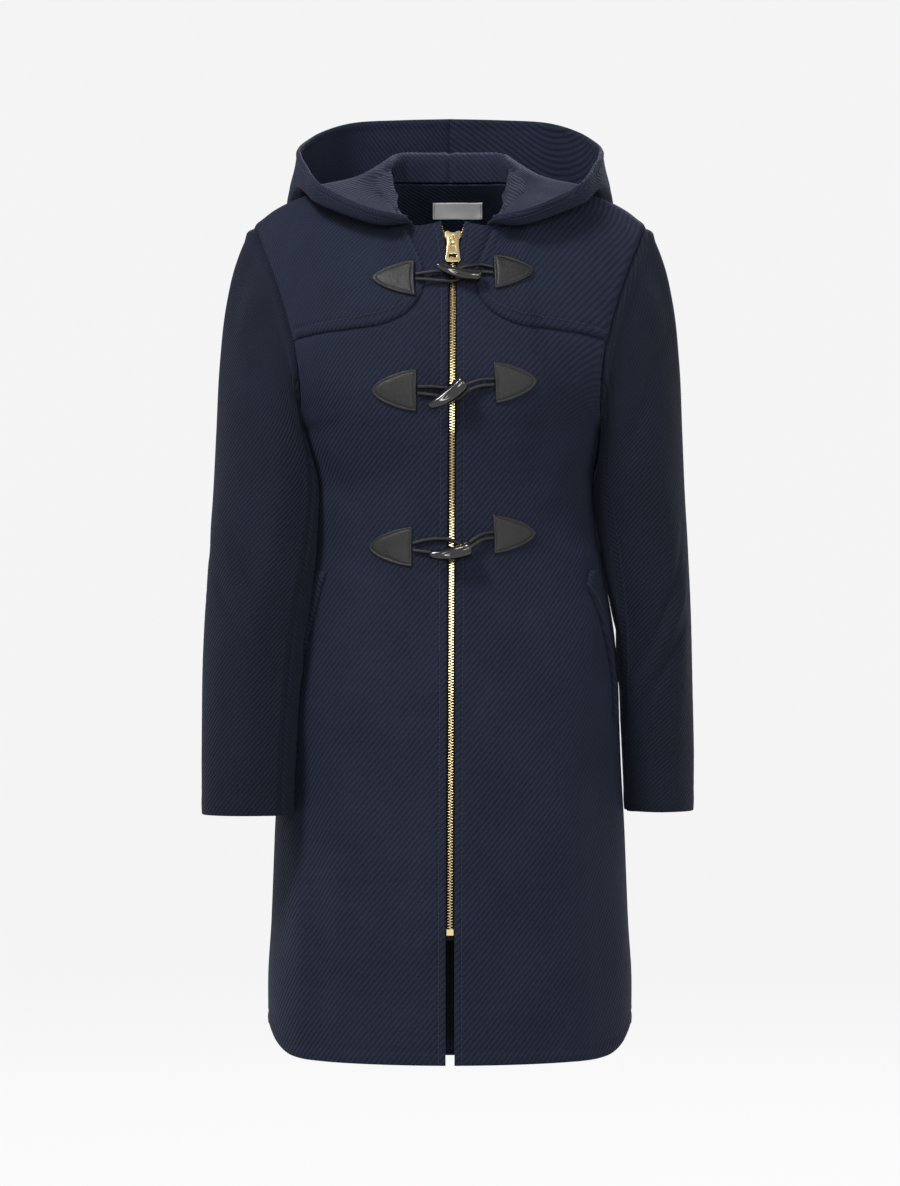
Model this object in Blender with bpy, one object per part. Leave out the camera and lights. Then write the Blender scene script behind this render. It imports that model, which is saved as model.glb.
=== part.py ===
"""A hooded duffle coat, filled out as if worn, at its real size in metres.

The front faces -Y, the top is +Z, and "right" is +X, as seen from the front. The origin lies
between the shoulders, level with the base of the neck. Every cloth piece is a thin wall on a grid
of points, and walls that are sewn together stop a seam's gap apart.
"""
import functools
import math

import bmesh
import bpy
import numpy as np

# ---- driving dimensions -------------------------------------------------------------------
WALL = 0.0025            # coating cloth, one layer
HOOD_WALL = 0.0028       # hood cloth
LINING_WALL = 0.001
SEAM_GAP = 0.0003        # between two pieces sewn edge to edge
HOOD_SEAT = 0.0023       # gap between the neckline and the hood
LAY_GAP = 0.0009         # under a piece that is laid on a curved panel
TAB_LEATHER = 0.0015
CORD_RADIUS = 0.0019
SLEEVE_CLEARANCE = 0.0065    # sleeve cloth to body cloth, middle to middle

UNDERARM_Z = -0.236
FRONT_HEM_Z = -0.866
BACK_HEM_Z = -0.886
HEM_RISE = {"front": 0.030, "back": 0.050}       # how far the hem climbs at the side seams
HEM_RISE_POWER = {"front": 18, "back": 10}

ZIP_TOP_Z = -0.024
ZIP_BOTTOM_Z = -0.735
ZIP_LEAN = 0.003         # the zip's top leans this far to the right of its foot
EDGE_GAP = 0.0055        # front edge to the zip's middle
NECK_SPREAD = 0.0075     # how much more the front edges part at the neck
NECK_SPREAD_START = -0.066
TAPE_SPREAD = 0.0125     # how far the zip's tapes part above the slider
TAPE_SPREAD_START = -0.054
TAPE_WIDTH = 0.0135
TAPE_WALL = 0.0008
TAPE_DEPTH = 0.0025      # the tapes' middle behind the middle of the fronts' cloth
SLIDER_Z = -0.045

# ---- tables -------------------------------------------------------------------------------
# body sections: level, half width, depth in front and behind the side seams
BODY_COLUMNS = ("z", "half_width", "front", "back")
BODY = (
    (-0.236, 0.156, 0.132, 0.118),
    (-0.300, 0.142, 0.123, 0.110),
    (-0.360, 0.151, 0.125, 0.114),
    (-0.420, 0.163, 0.131, 0.123),
    (-0.490, 0.170, 0.137, 0.132),
    (-0.560, 0.173, 0.141, 0.138),
    (-0.630, 0.177, 0.145, 0.142),
    (-0.730, 0.181, 0.149, 0.146),
    (-0.810, 0.185, 0.151, 0.149),
    (-0.890, 0.181, 0.151, 0.149),
)
# middle of the front and of the back above the underarm: climb 0 to 1, depth
CENTRE_COLUMNS = ("climb", "front", "back")
CENTRE = (
    (0.00, 0.132, 0.118),
    (0.30, 0.126, 0.123),
    (0.62, 0.112, 0.117),
    (0.85, 0.097, 0.096),
    (1.00, 0.086, 0.066),
)
# armhole: climb from the underarm to the shoulder tip, level, and its place on either face
ARMHOLE_COLUMNS = ("climb", "z", "front_x", "front_y", "back_x", "back_y")
ARMHOLE = (
    (0.00, -0.236, 0.156, 0.000, 0.156, 0.000),
    (0.10, -0.230, 0.152, 0.038, 0.155, 0.034),
    (0.20, -0.212, 0.150, 0.066, 0.156, 0.060),
    (0.33, -0.180, 0.152, 0.080, 0.160, 0.074),
    (0.50, -0.143, 0.158, 0.079, 0.167, 0.075),
    (0.67, -0.104, 0.169, 0.064, 0.177, 0.061),
    (0.83, -0.062, 0.184, 0.040, 0.189, 0.038),
    (1.00, -0.024, 0.201, 0.000, 0.201, 0.000),
)
# neckline from the centre (0) to the shoulder's neck point (0.5)
NECK_COLUMNS = ("across", "x", "y", "z")
FRONT_NECK = (
    (0.00, 0.0125, -0.086, -0.0245),
    (0.17, 0.0385, -0.082, -0.0280),
    (0.25, 0.0530, -0.071, -0.0220),
    (0.33, 0.0660, -0.050, -0.0080),
    (0.42, 0.0760, -0.024, 0.0080),
    (0.50, 0.0800, 0.000, 0.0200),
)
BACK_NECK = (
    (0.00, 0.0000, 0.066, 0.0265),
    (0.17, 0.0300, 0.062, 0.0262),
    (0.33, 0.0590, 0.043, 0.0250),
    (0.50, 0.0800, 0.000, 0.0200),
)
# shoulder seam from the neck point (0.5) to the sleeve (1)
SHOULDER = (
    (0.50, 0.0800, 0.0, 0.0200),
    (0.65, 0.1200, 0.0, 0.0150),
    (0.80, 0.1590, 0.0, 0.0040),
    (0.90, 0.1820, 0.0, -0.0080),
    (1.00, 0.2010, 0.0, -0.0240),
)
SHOULDER_FILL = 0.010    # fullness of the chest and shoulder blade between those lines

# sleeve sections: level, middle, half sizes, and the turn of the front seam from the inner side
SLEEVE_COLUMNS = ("z", "x", "y", "half_width", "half_depth", "front_seam")
SLEEVES = {
    "left": (
        (-0.300, 0.184, -0.035, 0.056, 0.063, 39),
        (-0.360, 0.188, -0.050, 0.0555, 0.058, 42),
        (-0.420, 0.194, -0.060, 0.052, 0.054, 44),
        (-0.490, 0.1995, -0.068, 0.049, 0.050, 44),
        (-0.560, 0.2025, -0.073, 0.047, 0.046, 44),
        (-0.620, 0.2035, -0.076, 0.0455, 0.042, 44),
    ),
    "right": (
        (-0.300, 0.1925, 0.000, 0.0475, 0.066, 50),
        (-0.360, 0.1990, 0.002, 0.0450, 0.062, 52),
        (-0.420, 0.2065, 0.004, 0.0405, 0.059, 46),
        (-0.490, 0.2110, 0.008, 0.0375, 0.056, 36),
        (-0.560, 0.2125, 0.010, 0.0370, 0.052, 22),
        (-0.620, 0.2130, 0.012, 0.0360, 0.048, 12),
    ),
}
BACK_SEAM = 310          # turn of the sleeve's back seam, in degrees
CAP_STEPS = (0.0, 0.07, 0.18, 0.34, 0.55, 0.78)

# hood sections: turn from the front neck point to the centre back, then the crest that rolls over
# round the neck, the trough of the pouch and the rim
HOOD_COLUMNS = ("turn", "crest_x", "crest_y", "crest_z", "trough_x", "trough_y", "trough_z",
                "rim_x", "rim_y", "rim_z")
HOOD = (
    (0.00, 0.0395, -0.0845, -0.0262, 0.0410, -0.0880, -0.0240, 0.0440, -0.0915, -0.0200),
    (0.12, 0.0500, -0.0690, -0.0160, 0.0660, -0.0890, -0.0270, 0.0674, -0.0950, -0.0155),
    (0.28, 0.0530, -0.0430, -0.0020, 0.0985, -0.0790, -0.0180, 0.0985, -0.0850, -0.0045),
    (0.44, 0.0560, -0.0120, 0.0180, 0.1370, -0.0450, 0.0000, 0.1349, -0.0510, 0.0179),
    (0.60, 0.0590, 0.0220, 0.0430, 0.1540, 0.0080, 0.0140, 0.1531, 0.0080, 0.0481),
    (0.74, 0.0530, 0.0520, 0.0560, 0.1480, 0.0780, -0.0300, 0.1510, 0.0720, 0.0700),
    (0.87, 0.0320, 0.0690, 0.0588, 0.0980, 0.1330, -0.0840, 0.1050, 0.1350, 0.0960),
    (1.00, 0.0000, 0.0750, 0.0590, 0.0000, 0.1550, -0.1050, 0.0000, 0.1600, 0.1030),
)
HOOD_STEPS = {"stand": 3, "fall": 5, "wall": 4}

# lower edge of a yoke: from the neckline round to the armhole
YOKE_COLUMNS = ("x", "z")
YOKE_EDGE = (
    (0.0420, -0.0330),
    (0.0355, -0.0500),
    (0.0290, -0.0650),
    (0.0260, -0.0840),
    (0.0320, -0.1040),
    (0.0450, -0.1180),
    (0.0645, -0.1275),
    (0.1010, -0.1330),
    (0.1340, -0.1370),
)

YOKE_WALL = 0.0020
YOKE_LIFT = 0.0012
YOKE_INSET = 0.985       # the yoke stops this share of the way across, just short of the armhole

# leather tabs: middle of the straight side, size along and across, and tilt of the nose
LEATHER_TABS = (
    ("top", "left", -0.0353, -0.0843, 0.0408, 0.035, 0),
    ("top", "right", 0.0435, -0.0778, 0.0380, 0.035, 3),
    ("middle", "left", -0.0333, -0.1960, 0.0448, 0.042, 0),
    ("middle", "right", 0.0445, -0.1885, 0.0416, 0.041, 3),
    ("bottom", "left", -0.0375, -0.3520, 0.0435, 0.040, 0),
    ("bottom", "right", 0.0430, -0.3395, 0.0420, 0.039, 2),
)
TAB_SQUARENESS = 1.6     # 1 is a triangle, 2 a half oval
TAB_POINTS = 12
# toggles: middle, length, radius at the thick end, tilt, and lift of the back off the cloth;
# the point is on the left
TOGGLES = (
    ("top", 0.0060, -0.0815, 0.046, 0.0052, -16, 0.0072),
    ("middle", 0.0000, -0.2025, 0.043, 0.0068, 32, 0.0098),
    ("bottom", 0.0005, -0.3590, 0.042, 0.0064, 11, 0.0098),
)
TOGGLE_SHAPE = (         # share of the length and of the radius, from the point to the cut end
    (0.00, 0.22), (0.04, 0.42), (0.18, 0.64), (0.40, 0.82), (0.65, 0.94), (0.88, 1.00), (1.00, 0.94),
)
# routes of the cords: across, level and lift of the cord's middle off the cloth
CORDS = {
    ("top", "left"): (
        (-0.0340, -0.0815, 0.0056), (-0.0200, -0.0790, 0.0054), (-0.0060, -0.0768, 0.0034),
        (0.0060, -0.0775, 0.0027), (0.0115, -0.0815, 0.0027), (0.0060, -0.0858, 0.0027),
        (-0.0060, -0.0868, 0.0034), (-0.0200, -0.0866, 0.0054), (-0.0340, -0.0862, 0.0056),
    ),
    ("top", "right"): (
        (0.0416, -0.0740, 0.0056), (0.0300, -0.0720, 0.0064), (0.0190, -0.0730, 0.0072),
        (0.0100, -0.0765, 0.0072), (0.0068, -0.0803, 0.0072), (0.0110, -0.0835, 0.0072),
        (0.0200, -0.0805, 0.0072), (0.0305, -0.0795, 0.0064), (0.0422, -0.0800, 0.0056),
    ),
    ("middle", "left"): (
        (-0.0324, -0.1925, 0.0027), (-0.0200, -0.1925, 0.0027), (-0.0080, -0.1935, 0.0027),
        (0.0030, -0.1950, 0.0027), (0.0090, -0.1990, 0.0027), (0.0040, -0.2035, 0.0027),
        (-0.0070, -0.2025, 0.0027), (-0.0195, -0.2005, 0.0027), (-0.0324, -0.1990, 0.0027),
    ),
    ("middle", "right"): (
        (0.0432, -0.1850, 0.0027), (0.0330, -0.1855, 0.0050), (0.0220, -0.1890, 0.0072),
        (0.0090, -0.1950, 0.0072), (0.0010, -0.2010, 0.0072), (0.0060, -0.2050, 0.0072),
        (0.0170, -0.1975, 0.0072), (0.0310, -0.1920, 0.0050), (0.0436, -0.1905, 0.0027),
    ),
    ("bottom", "left"): (
        (-0.0364, -0.3485, 0.0027), (-0.0250, -0.3455, 0.0027), (-0.0110, -0.3440, 0.0027),
        (0.0030, -0.3460, 0.0027), (0.0115, -0.3530, 0.0027), (0.0060, -0.3590, 0.0027),
        (-0.0060, -0.3595, 0.0027), (-0.0200, -0.3575, 0.0027), (-0.0364, -0.3555, 0.0027),
    ),
    ("bottom", "right"): (
        (0.0418, -0.3370, 0.0027), (0.0330, -0.3385, 0.0050), (0.0230, -0.3440, 0.0072),
        (0.0120, -0.3510, 0.0072), (0.0030, -0.3560, 0.0072), (0.0080, -0.3605, 0.0072),
        (0.0190, -0.3530, 0.0072), (0.0320, -0.3445, 0.0050), (0.0420, -0.3430, 0.0027),
    ),
}

# columns of the panels, as shares of the way from the centre to the side
ACROSS = {
    "front": (0.0, 0.085, 0.17, 0.25, 0.33, 0.42, 0.5, 0.6, 0.7, 0.8, 0.9, 1.0),
    "back": (0.0, 0.14, 0.28, 0.4, 0.5, 0.6, 0.7, 0.8, 0.9, 1.0),
}
HOOD_START = 2           # the hood starts at this column of the front's neckline
FRONT_NECK_POINT = 6     # columns at the shoulder's neck point
BACK_NECK_POINT = 4
CLIMBS = (0.0, 0.1, 0.2, 0.33, 0.45, 0.57, 0.69, 0.8, 0.9, 1.0)
UNDER_ROWS = 3           # rows of each armhole that the under sleeve takes
LAPPED = {0: 1.3, 1: 1.3, 2: 1.1, 3: 0.5}    # how far the sleeve laps outside, by armhole row
SKIRT_ROWS = 12
RISES = tuple(-1 + row / SKIRT_ROWS for row in range(SKIRT_ROWS)) + CLIMBS

LABEL = {"x": 0.008, "z": 0.002, "width": 0.052, "height": 0.016, "wall": 0.0006}
WELT = {"across": (0.70, 0.82), "down": (0.225, 0.46), "width": 0.052, "wall": 0.0012}


# ---- small tools --------------------------------------------------------------------------
def spline(stations, values, at):
    """Read a smooth curve through values at stations; both may be whole tables."""
    stations = np.asarray(stations, float)
    values = np.asarray(values, float)
    order = np.argsort(stations)
    stations = stations[order]
    values = values[order]
    slopes = np.gradient(values, stations, axis=0)
    at = float(np.clip(at, stations[0], stations[-1]))
    i = int(np.clip(np.searchsorted(stations, at) - 1, 0, len(stations) - 2))
    step = stations[i + 1] - stations[i]
    t = (at - stations[i]) / step
    return (values[i] * (1 + 2 * t) * (1 - t) ** 2 + slopes[i] * step * t * (1 - t) ** 2
            + values[i + 1] * t * t * (3 - 2 * t) + slopes[i + 1] * step * t * t * (t - 1))


def read(table, columns, key, at, *names):
    """Read one or more columns of a table at a value of its key column."""
    rows = np.array(table, float)
    picked = rows[:, [columns.index(name) for name in names]]
    found = spline(rows[:, columns.index(key)], picked, at)
    return found if len(names) > 1 else float(found[0])


def unit(vector):
    """Scale vectors to length one."""
    vector = np.asarray(vector, float)
    return vector / np.maximum(np.linalg.norm(vector, axis=-1, keepdims=True), 1e-12)


def ease(t):
    """Rise smoothly from 0 to 1."""
    t = min(max(t, 0.0), 1.0)
    return t * t * (3 - 2 * t)


def mirror(points):
    """Reflect points or normals from the right side to the left."""
    return np.asarray(points, float) * (-1, 1, 1)


def zip_x(z):
    """Across place of the zip's middle at a level."""
    share = (z - ZIP_BOTTOM_Z) / (ZIP_TOP_Z - ZIP_BOTTOM_Z)
    return ZIP_LEAN * min(max(share, 0.0), 1.0)


def edge_x(z):
    """Distance from the zip's middle to the front edge at a level."""
    return EDGE_GAP + NECK_SPREAD * ease((z - NECK_SPREAD_START) / (ZIP_TOP_Z - NECK_SPREAD_START))


def tape_x(z):
    """Distance from the zip's middle to a tape's inner edge, which parts above the slider."""
    share = (z - TAPE_SPREAD_START) / (ZIP_TOP_Z - TAPE_SPREAD_START)
    return SEAM_GAP / 2 + TAPE_SPREAD * ease(share)


def lean(points):
    """Shift points near the middle of the front along with the leaning zip."""
    moved = np.array(points, float)
    for p in moved.reshape(-1, 3):
        p[0] += zip_x(p[2]) * max(0.0, 1 - (abs(p[0]) / 0.09) ** 2)
    return moved


# ---- torso --------------------------------------------------------------------------------
def body_section(face, angle, z):
    """Point of the body's oval; the angle runs from the centre (0) to the side seam (90)."""
    half_width, depth = read(BODY, BODY_COLUMNS, "z", z, "half_width", face)
    way = -1 if face == "front" else 1
    return np.array((half_width * math.sin(angle), way * depth * math.cos(angle), z))


def hem_z(face, angle):
    """Level of the hem, which climbs towards the side seams."""
    low = FRONT_HEM_Z if face == "front" else BACK_HEM_Z
    return low + HEM_RISE[face] * math.sin(angle) ** HEM_RISE_POWER[face]


def section_angle(face, across, z):
    """Angle on the body's oval for a share of the way from the centre to the side."""
    start = 0.0
    if face == "front":
        start = math.asin(edge_x(z) / read(BODY, BODY_COLUMNS, "z", z, "half_width"))
    return start + across * (math.pi / 2 - start)


def skirt_point(face, across, down):
    """Point below the underarm; down runs from the underarm (0) to the hem (1)."""
    angle = section_angle(face, across, UNDERARM_Z)
    z = UNDERARM_Z + down * (hem_z(face, angle) - UNDERARM_Z)
    return body_section(face, section_angle(face, across, z), z)


def armhole_point(face, climb):
    """Point of the armhole, from the underarm (0) to the shoulder tip (1)."""
    x, y, z = read(ARMHOLE, ARMHOLE_COLUMNS, "climb", climb, face + "_x", face + "_y", "z")
    return np.array((x, -y if face == "front" else y, z))


def top_point(face, across):
    """Point of the neckline, then of the shoulder seam."""
    if across > 0.5:
        table = SHOULDER
    else:
        table = FRONT_NECK if face == "front" else BACK_NECK
    return np.array(read(table, NECK_COLUMNS, "across", across, "x", "y", "z"))


def centre_point(face, climb):
    """Point of the centre front or centre back above the underarm."""
    depth = read(CENTRE, CENTRE_COLUMNS, "climb", climb, face)
    top = top_point(face, 0.0)[2]
    z = UNDERARM_Z + climb * (top - UNDERARM_Z)
    if face == "front":
        return np.array((edge_x(z), -depth, z))
    return np.array((0.0, depth, z))


def chest_point(face, across, climb):
    """Point above the underarm, blended from the four lines round the panel."""
    foot_left = skirt_point(face, 0.0, 0.0)
    foot_right = armhole_point(face, 0.0)
    head_left = top_point(face, 0.0)
    head_right = armhole_point(face, 1.0)
    sides = (1 - across) * centre_point(face, climb) + across * armhole_point(face, climb)
    ends = (1 - climb) * skirt_point(face, across, 0.0) + climb * top_point(face, across)
    corners = ((1 - climb) * ((1 - across) * foot_left + across * foot_right)
               + climb * ((1 - across) * head_left + across * head_right))
    fullness = SHOULDER_FILL * math.sin(math.pi * across) * math.sin(math.pi * climb ** 1.6)
    way = -0.75 if face == "front" else 0.75
    return sides + ends - corners + fullness * np.array((0.0, way, 0.65))


def torso_point(face, across, rise):
    """Point of the front or back; rise is -1 at the hem, 0 at the underarm and 1 at the top."""
    if rise < 0:
        return skirt_point(face, across, -rise)
    return chest_point(face, across, rise)


def grid_normals(points, closed=False):
    """Normals of a grid of points, from its rows and columns."""
    down = np.gradient(points, axis=0)
    if closed:
        across = (np.roll(points, -1, axis=1) - np.roll(points, 1, axis=1)) / 2
    else:
        across = np.gradient(points, axis=1)
    return unit(np.cross(across, down))


@functools.lru_cache(maxsize=None)
def torso_grids():
    """Grids of the right half of the front and back, hem first, with their outward normals."""
    grids = {}
    for face, columns in ACROSS.items():
        points = np.array([[torso_point(face, across, rise) for across in columns]
                           for rise in RISES])
        normals = grid_normals(points)
        if face == "back":
            normals = -normals
            normals[:, 0, 0] = 0.0
        grids[face] = points, unit(normals)
    front, back = grids["front"][1], grids["back"][1]
    share_normals(front[:, -1], back[:, -1])
    share_normals(front[-1, FRONT_NECK_POINT:], back[-1, BACK_NECK_POINT:])
    return grids


def share_normals(first, second):
    """Average the normals of two matching edges, in place."""
    both = unit(first + second)
    first[:] = both
    second[:] = both


def draw_in(points, sides, gap=SEAM_GAP / 2):
    """Pull the named sides of a grid in by half a seam's gap or more."""
    drawn = np.array(points, float)
    for side in sides:
        edge, inner = {
            "first_row": (np.s_[0, :], np.s_[1, :]), "last_row": (np.s_[-1, :], np.s_[-2, :]),
            "first_column": (np.s_[:, 0], np.s_[:, 1]), "last_column": (np.s_[:, -1], np.s_[:, -2]),
        }[side]
        along = unit(np.gradient(points[edge], axis=0))
        inward = points[inner] - points[edge]
        inward = inward - along * (inward * along).sum(axis=1, keepdims=True)
        drawn[edge] += unit(inward) * gap
    return drawn


# ---- objects ------------------------------------------------------------------------------
def material(name, colour, roughness, metallic=0.0):
    """Return the named material, made on first use."""
    found = bpy.data.materials.get(name)
    if found is None:
        found = bpy.data.materials.new(name)
        found.use_nodes = True
        shader = found.node_tree.nodes["Principled BSDF"]
        shader.inputs["Base Color"].default_value = (*colour, 1.0)
        shader.inputs["Roughness"].default_value = roughness
        shader.inputs["Metallic"].default_value = metallic
        found.diffuse_color = (*colour, 1.0)
    return found


def navy_cloth():
    return material("navy twill", (0.018, 0.026, 0.055), 0.9)


def black_leather():
    return material("black leather", (0.012, 0.012, 0.013), 0.45)


def gold_metal():
    return material("pale gold metal", (0.83, 0.66, 0.36), 0.25, 1.0)


def solid(name, vertices, faces, finish):
    """Make one closed solid with its faces pointing out."""
    mesh = bpy.data.meshes.new(name)
    mesh.from_pydata([tuple(v) for v in vertices], [], faces)
    shape = bmesh.new()
    shape.from_mesh(mesh)
    bmesh.ops.recalc_face_normals(shape, faces=shape.faces)
    shape.to_mesh(mesh)
    shape.free()
    mesh.shade_smooth()
    mesh.set_sharp_from_angle(angle=math.radians(50))
    mesh.materials.append(finish)
    made = bpy.data.objects.new(name, mesh)
    bpy.context.scene.collection.objects.link(made)
    return made


def wall(name, points, normals, thickness, finish, lift=0.0):
    """Make a cloth wall on a grid, its middle lifted off the grid along the normals."""
    rows, columns = points.shape[:2]
    middle = points + normals * lift
    outer = (middle + normals * thickness / 2).reshape(-1, 3)
    inner = (middle - normals * thickness / 2).reshape(-1, 3)
    count = rows * columns

    def at(i, j, side=0):
        return side * count + i * columns + j

    faces = []
    for i in range(rows - 1):
        for j in range(columns - 1):
            faces.append((at(i, j), at(i, j + 1), at(i + 1, j + 1), at(i + 1, j)))
            faces.append((at(i, j, 1), at(i + 1, j, 1), at(i + 1, j + 1, 1), at(i, j + 1, 1)))
    # the cut edges are split the same way on every piece, so that two sewn edges stay parallel
    for j in range(columns - 1):
        for i in (0, rows - 1):
            faces.append((at(i, j), at(i, j + 1), at(i, j + 1, 1)))
            faces.append((at(i, j), at(i, j + 1, 1), at(i, j, 1)))
    for i in range(rows - 1):
        for j in (0, columns - 1):
            faces.append((at(i, j), at(i + 1, j), at(i + 1, j, 1)))
            faces.append((at(i, j), at(i + 1, j, 1), at(i, j, 1)))
    return solid(name, np.vstack((outer, inner)), faces, finish)


def tube(name, route, radius, finish):
    """Make a round cord along a smooth curve through a route."""
    route = np.array(route, float)
    lengths = np.concatenate(([0], np.cumsum(np.linalg.norm(np.diff(route, axis=0), axis=1))))
    steps = max(8, int(lengths[-1] / (radius * 5)))
    curve = bpy.data.curves.new(name, "CURVE")
    curve.dimensions = "3D"
    curve.bevel_depth = radius
    curve.bevel_resolution = 2
    curve.use_fill_caps = True
    line = curve.splines.new("POLY")
    line.points.add(steps)
    for k in range(steps + 1):
        line.points[k].co = (*spline(lengths, route, lengths[-1] * k / steps), 1.0)
    curve.materials.append(finish)
    made = bpy.data.objects.new(name, curve)
    bpy.context.scene.collection.objects.link(made)
    return made


def slab(name, outline, y_front, y_back, finish):
    """Make a flat plate from an outline of (x, z) points, between two depths."""
    count = len(outline)
    vertices = [(x, y, z) for y in (y_front, y_back) for x, z in outline]
    faces = [tuple(range(count)), tuple(range(2 * count - 1, count - 1, -1))]
    faces += [(k, (k + 1) % count, (k + 1) % count + count, k + count) for k in range(count)]
    return solid(name, vertices, faces, finish)


def box(name, x, y, z, finish):
    """Make a block between pairs of x, y and z."""
    outline = ((x[0], z[0]), (x[1], z[0]), (x[1], z[1]), (x[0], z[1]))
    return slab(name, outline, y[0], y[1], finish)


def combine(target, others, operation):
    """Join or cut a solid with others, which are then removed."""
    for other in others:
        cut = target.modifiers.new(operation.lower(), "BOOLEAN")
        cut.operation = operation
        cut.object = other
        other.hide_render = True
        other.display_type = "WIRE"


# ---- places on the front and back ---------------------------------------------------------
def torso_frame(face, across, rise):
    """Read a point of the panel's cloth, its normal and how the point moves with the shares."""
    points, normals = torso_grids()[face]
    columns = ACROSS[face]
    j = int(np.clip(np.searchsorted(columns, across) - 1, 0, len(columns) - 2))
    i = int(np.clip(np.searchsorted(RISES, rise) - 1, 0, len(RISES) - 2))
    wide, tall = columns[j + 1] - columns[j], RISES[i + 1] - RISES[i]
    u, v = (across - columns[j]) / wide, (rise - RISES[i]) / tall
    low, high = points[i], points[i + 1]
    by_across = ((1 - v) * (low[j + 1] - low[j]) + v * (high[j + 1] - high[j])) / wide
    by_rise = ((1 - u) * (high[j] - low[j]) + u * (high[j + 1] - low[j + 1])) / tall
    point = (1 - v) * ((1 - u) * low[j] + u * low[j + 1]) + v * ((1 - u) * high[j] + u * high[j + 1])
    tilt = ((1 - v) * ((1 - u) * normals[i, j] + u * normals[i, j + 1])
            + v * ((1 - u) * normals[i + 1, j] + u * normals[i + 1, j + 1]))
    return point, unit(tilt), by_across, by_rise


def find_on_torso(face, x, z):
    """Shares across and up the panel at which it passes (x, z), right side."""
    across = 0.4
    rise = 0.4 if z > UNDERARM_Z else -0.4
    for _ in range(40):
        here, _, by_across, by_rise = torso_frame(face, across, rise)
        miss = np.array((x - here[0], z - here[2]))
        if np.abs(miss).max() < 1e-7:
            break
        move = np.linalg.solve(((by_across[0], by_rise[0]), (by_across[2], by_rise[2])), miss)
        across = min(max(across + float(np.clip(move[0], -0.15, 0.15)), -0.05), 0.998)
        rise = min(max(rise + float(np.clip(move[1], -0.15, 0.15)), -1.0), 0.998)
    return across, rise


def on_front(x, z, lift):
    """Point lifted off the front's outer face at (x, z); negative x is the left front."""
    straight = x - zip_x(z) * max(0.0, 1 - (abs(x) / 0.09) ** 2)
    reach = max(abs(straight), edge_x(z))
    point, normal, _, _ = torso_frame("front", *find_on_torso("front", reach, z))
    placed = point + normal * (WALL / 2 + lift)
    if straight < 0:
        placed = mirror(placed)
    placed[0] += x - math.copysign(reach, straight)
    return placed


def laid_piece(name, side, outline, lift, thickness, finish):
    """Piece laid on a front: the front's own wall, moved out and cut to an outline of (x, z)."""
    points, normals = torso_grids()["front"]
    way = np.array((1 if side == "right" else -1, 1, 1))
    points = lean(points * way)
    low, high = np.min(outline, axis=0), np.max(outline, axis=0)
    near = ((points[..., 0] > low[0] - 0.03) & (points[..., 0] < high[0] + 0.03)
            & (points[..., 2] > low[1] - 0.06) & (points[..., 2] < high[1] + 0.06))
    rows, columns = np.where(near.any(axis=1))[0], np.where(near.any(axis=0))[0]
    part = np.s_[rows[0]:rows[-1] + 1, columns[0]:columns[-1] + 1]
    made = wall(name, points[part], (normals * way)[part], thickness, finish,
                (WALL + thickness) / 2 + lift)
    cutter = slab(name + "_outline", outline, -0.25, 0.05, finish)
    combine(made, [cutter], "INTERSECT")
    return made


def centre_y(z):
    """Depth of the middle of the cloth along the front edges."""
    edge = torso_grids()["front"][0][:, 0]
    return float(np.interp(z, edge[:, 2], edge[:, 1]))


# ---- pieces -------------------------------------------------------------------------------
def make_body(front, front_normals, back, back_normals):
    """Two fronts and one back."""
    drawn = draw_in(front, ("last_column",))
    drawn[-1, FRONT_NECK_POINT:] = draw_in(front, ("last_row",))[-1, FRONT_NECK_POINT:]
    for side, flip in (("right", 1), ("left", -1)):
        way = np.array((flip, 1, 1))
        wall("front_" + side, lean(drawn * way), front_normals * way, WALL, navy_cloth())
    drawn = draw_in(back, ("last_column",))
    drawn[-1, BACK_NECK_POINT:] = draw_in(back, ("last_row",))[-1, BACK_NECK_POINT:]
    whole = np.concatenate((mirror(drawn[:, :0:-1]), drawn), axis=1)
    normals = np.concatenate((mirror(back_normals[:, :0:-1]), back_normals), axis=1)
    wall("back", whole, normals, WALL, navy_cloth())
    return whole, normals


def make_lining(back, normals):
    """Lining inside the back, from a little above its hem up to the underarm."""
    points = back[:SKIRT_ROWS + 1, 2:-2].copy()
    points[0, :, 2] += 0.015
    lift = -(WALL + LINING_WALL) / 2 - LAY_GAP
    wall("back_lining", points, normals[:SKIRT_ROWS + 1, 2:-2], LINING_WALL,
         material("black lining", (0.006, 0.006, 0.008), 0.5), lift)


def keep_off_body(point, share=1.0):
    """Push a sleeve's point out until it clears the body's oval by a share of the clearance."""
    x, y, z = point
    face = "front" if y < 0 else "back"
    half_width, depth = read(BODY, BODY_COLUMNS, "z", min(z, UNDERARM_Z), "half_width", face)
    angle = math.atan2(x / half_width, abs(y) / depth)
    needed = math.hypot(half_width * math.sin(angle), depth * math.cos(angle))
    needed += SLEEVE_CLEARANCE * share
    reach = math.hypot(x, y)
    if z < UNDERARM_Z + 0.03 and reach < needed:
        return np.array((x * needed / reach, y * needed / reach, z))
    return point


def sleeve_turns(seam):
    """Turns round a sleeve section, from the inner side through the front, outside and back."""
    under = np.linspace(0, seam, UNDER_ROWS + 1)
    over = np.linspace(seam, BACK_SEAM, 2 * (len(CLIMBS) - 1 - UNDER_ROWS) + 1)
    behind = np.linspace(BACK_SEAM, 360, UNDER_ROWS + 1)
    return np.concatenate((under[:-1], over[:-1], behind[:-1]))


def sleeve_ring(side, z):
    """One level ring of a sleeve, right side."""
    x, y, half_width, half_depth, seam = read(
        SLEEVES[side], SLEEVE_COLUMNS, "z", z, "x", "y", "half_width", "half_depth", "front_seam")
    return np.array([keep_off_body(np.array((
        x - half_width * math.cos(math.radians(turn)),
        y - half_depth * math.sin(math.radians(turn)), z))) for turn in sleeve_turns(seam)])


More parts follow.
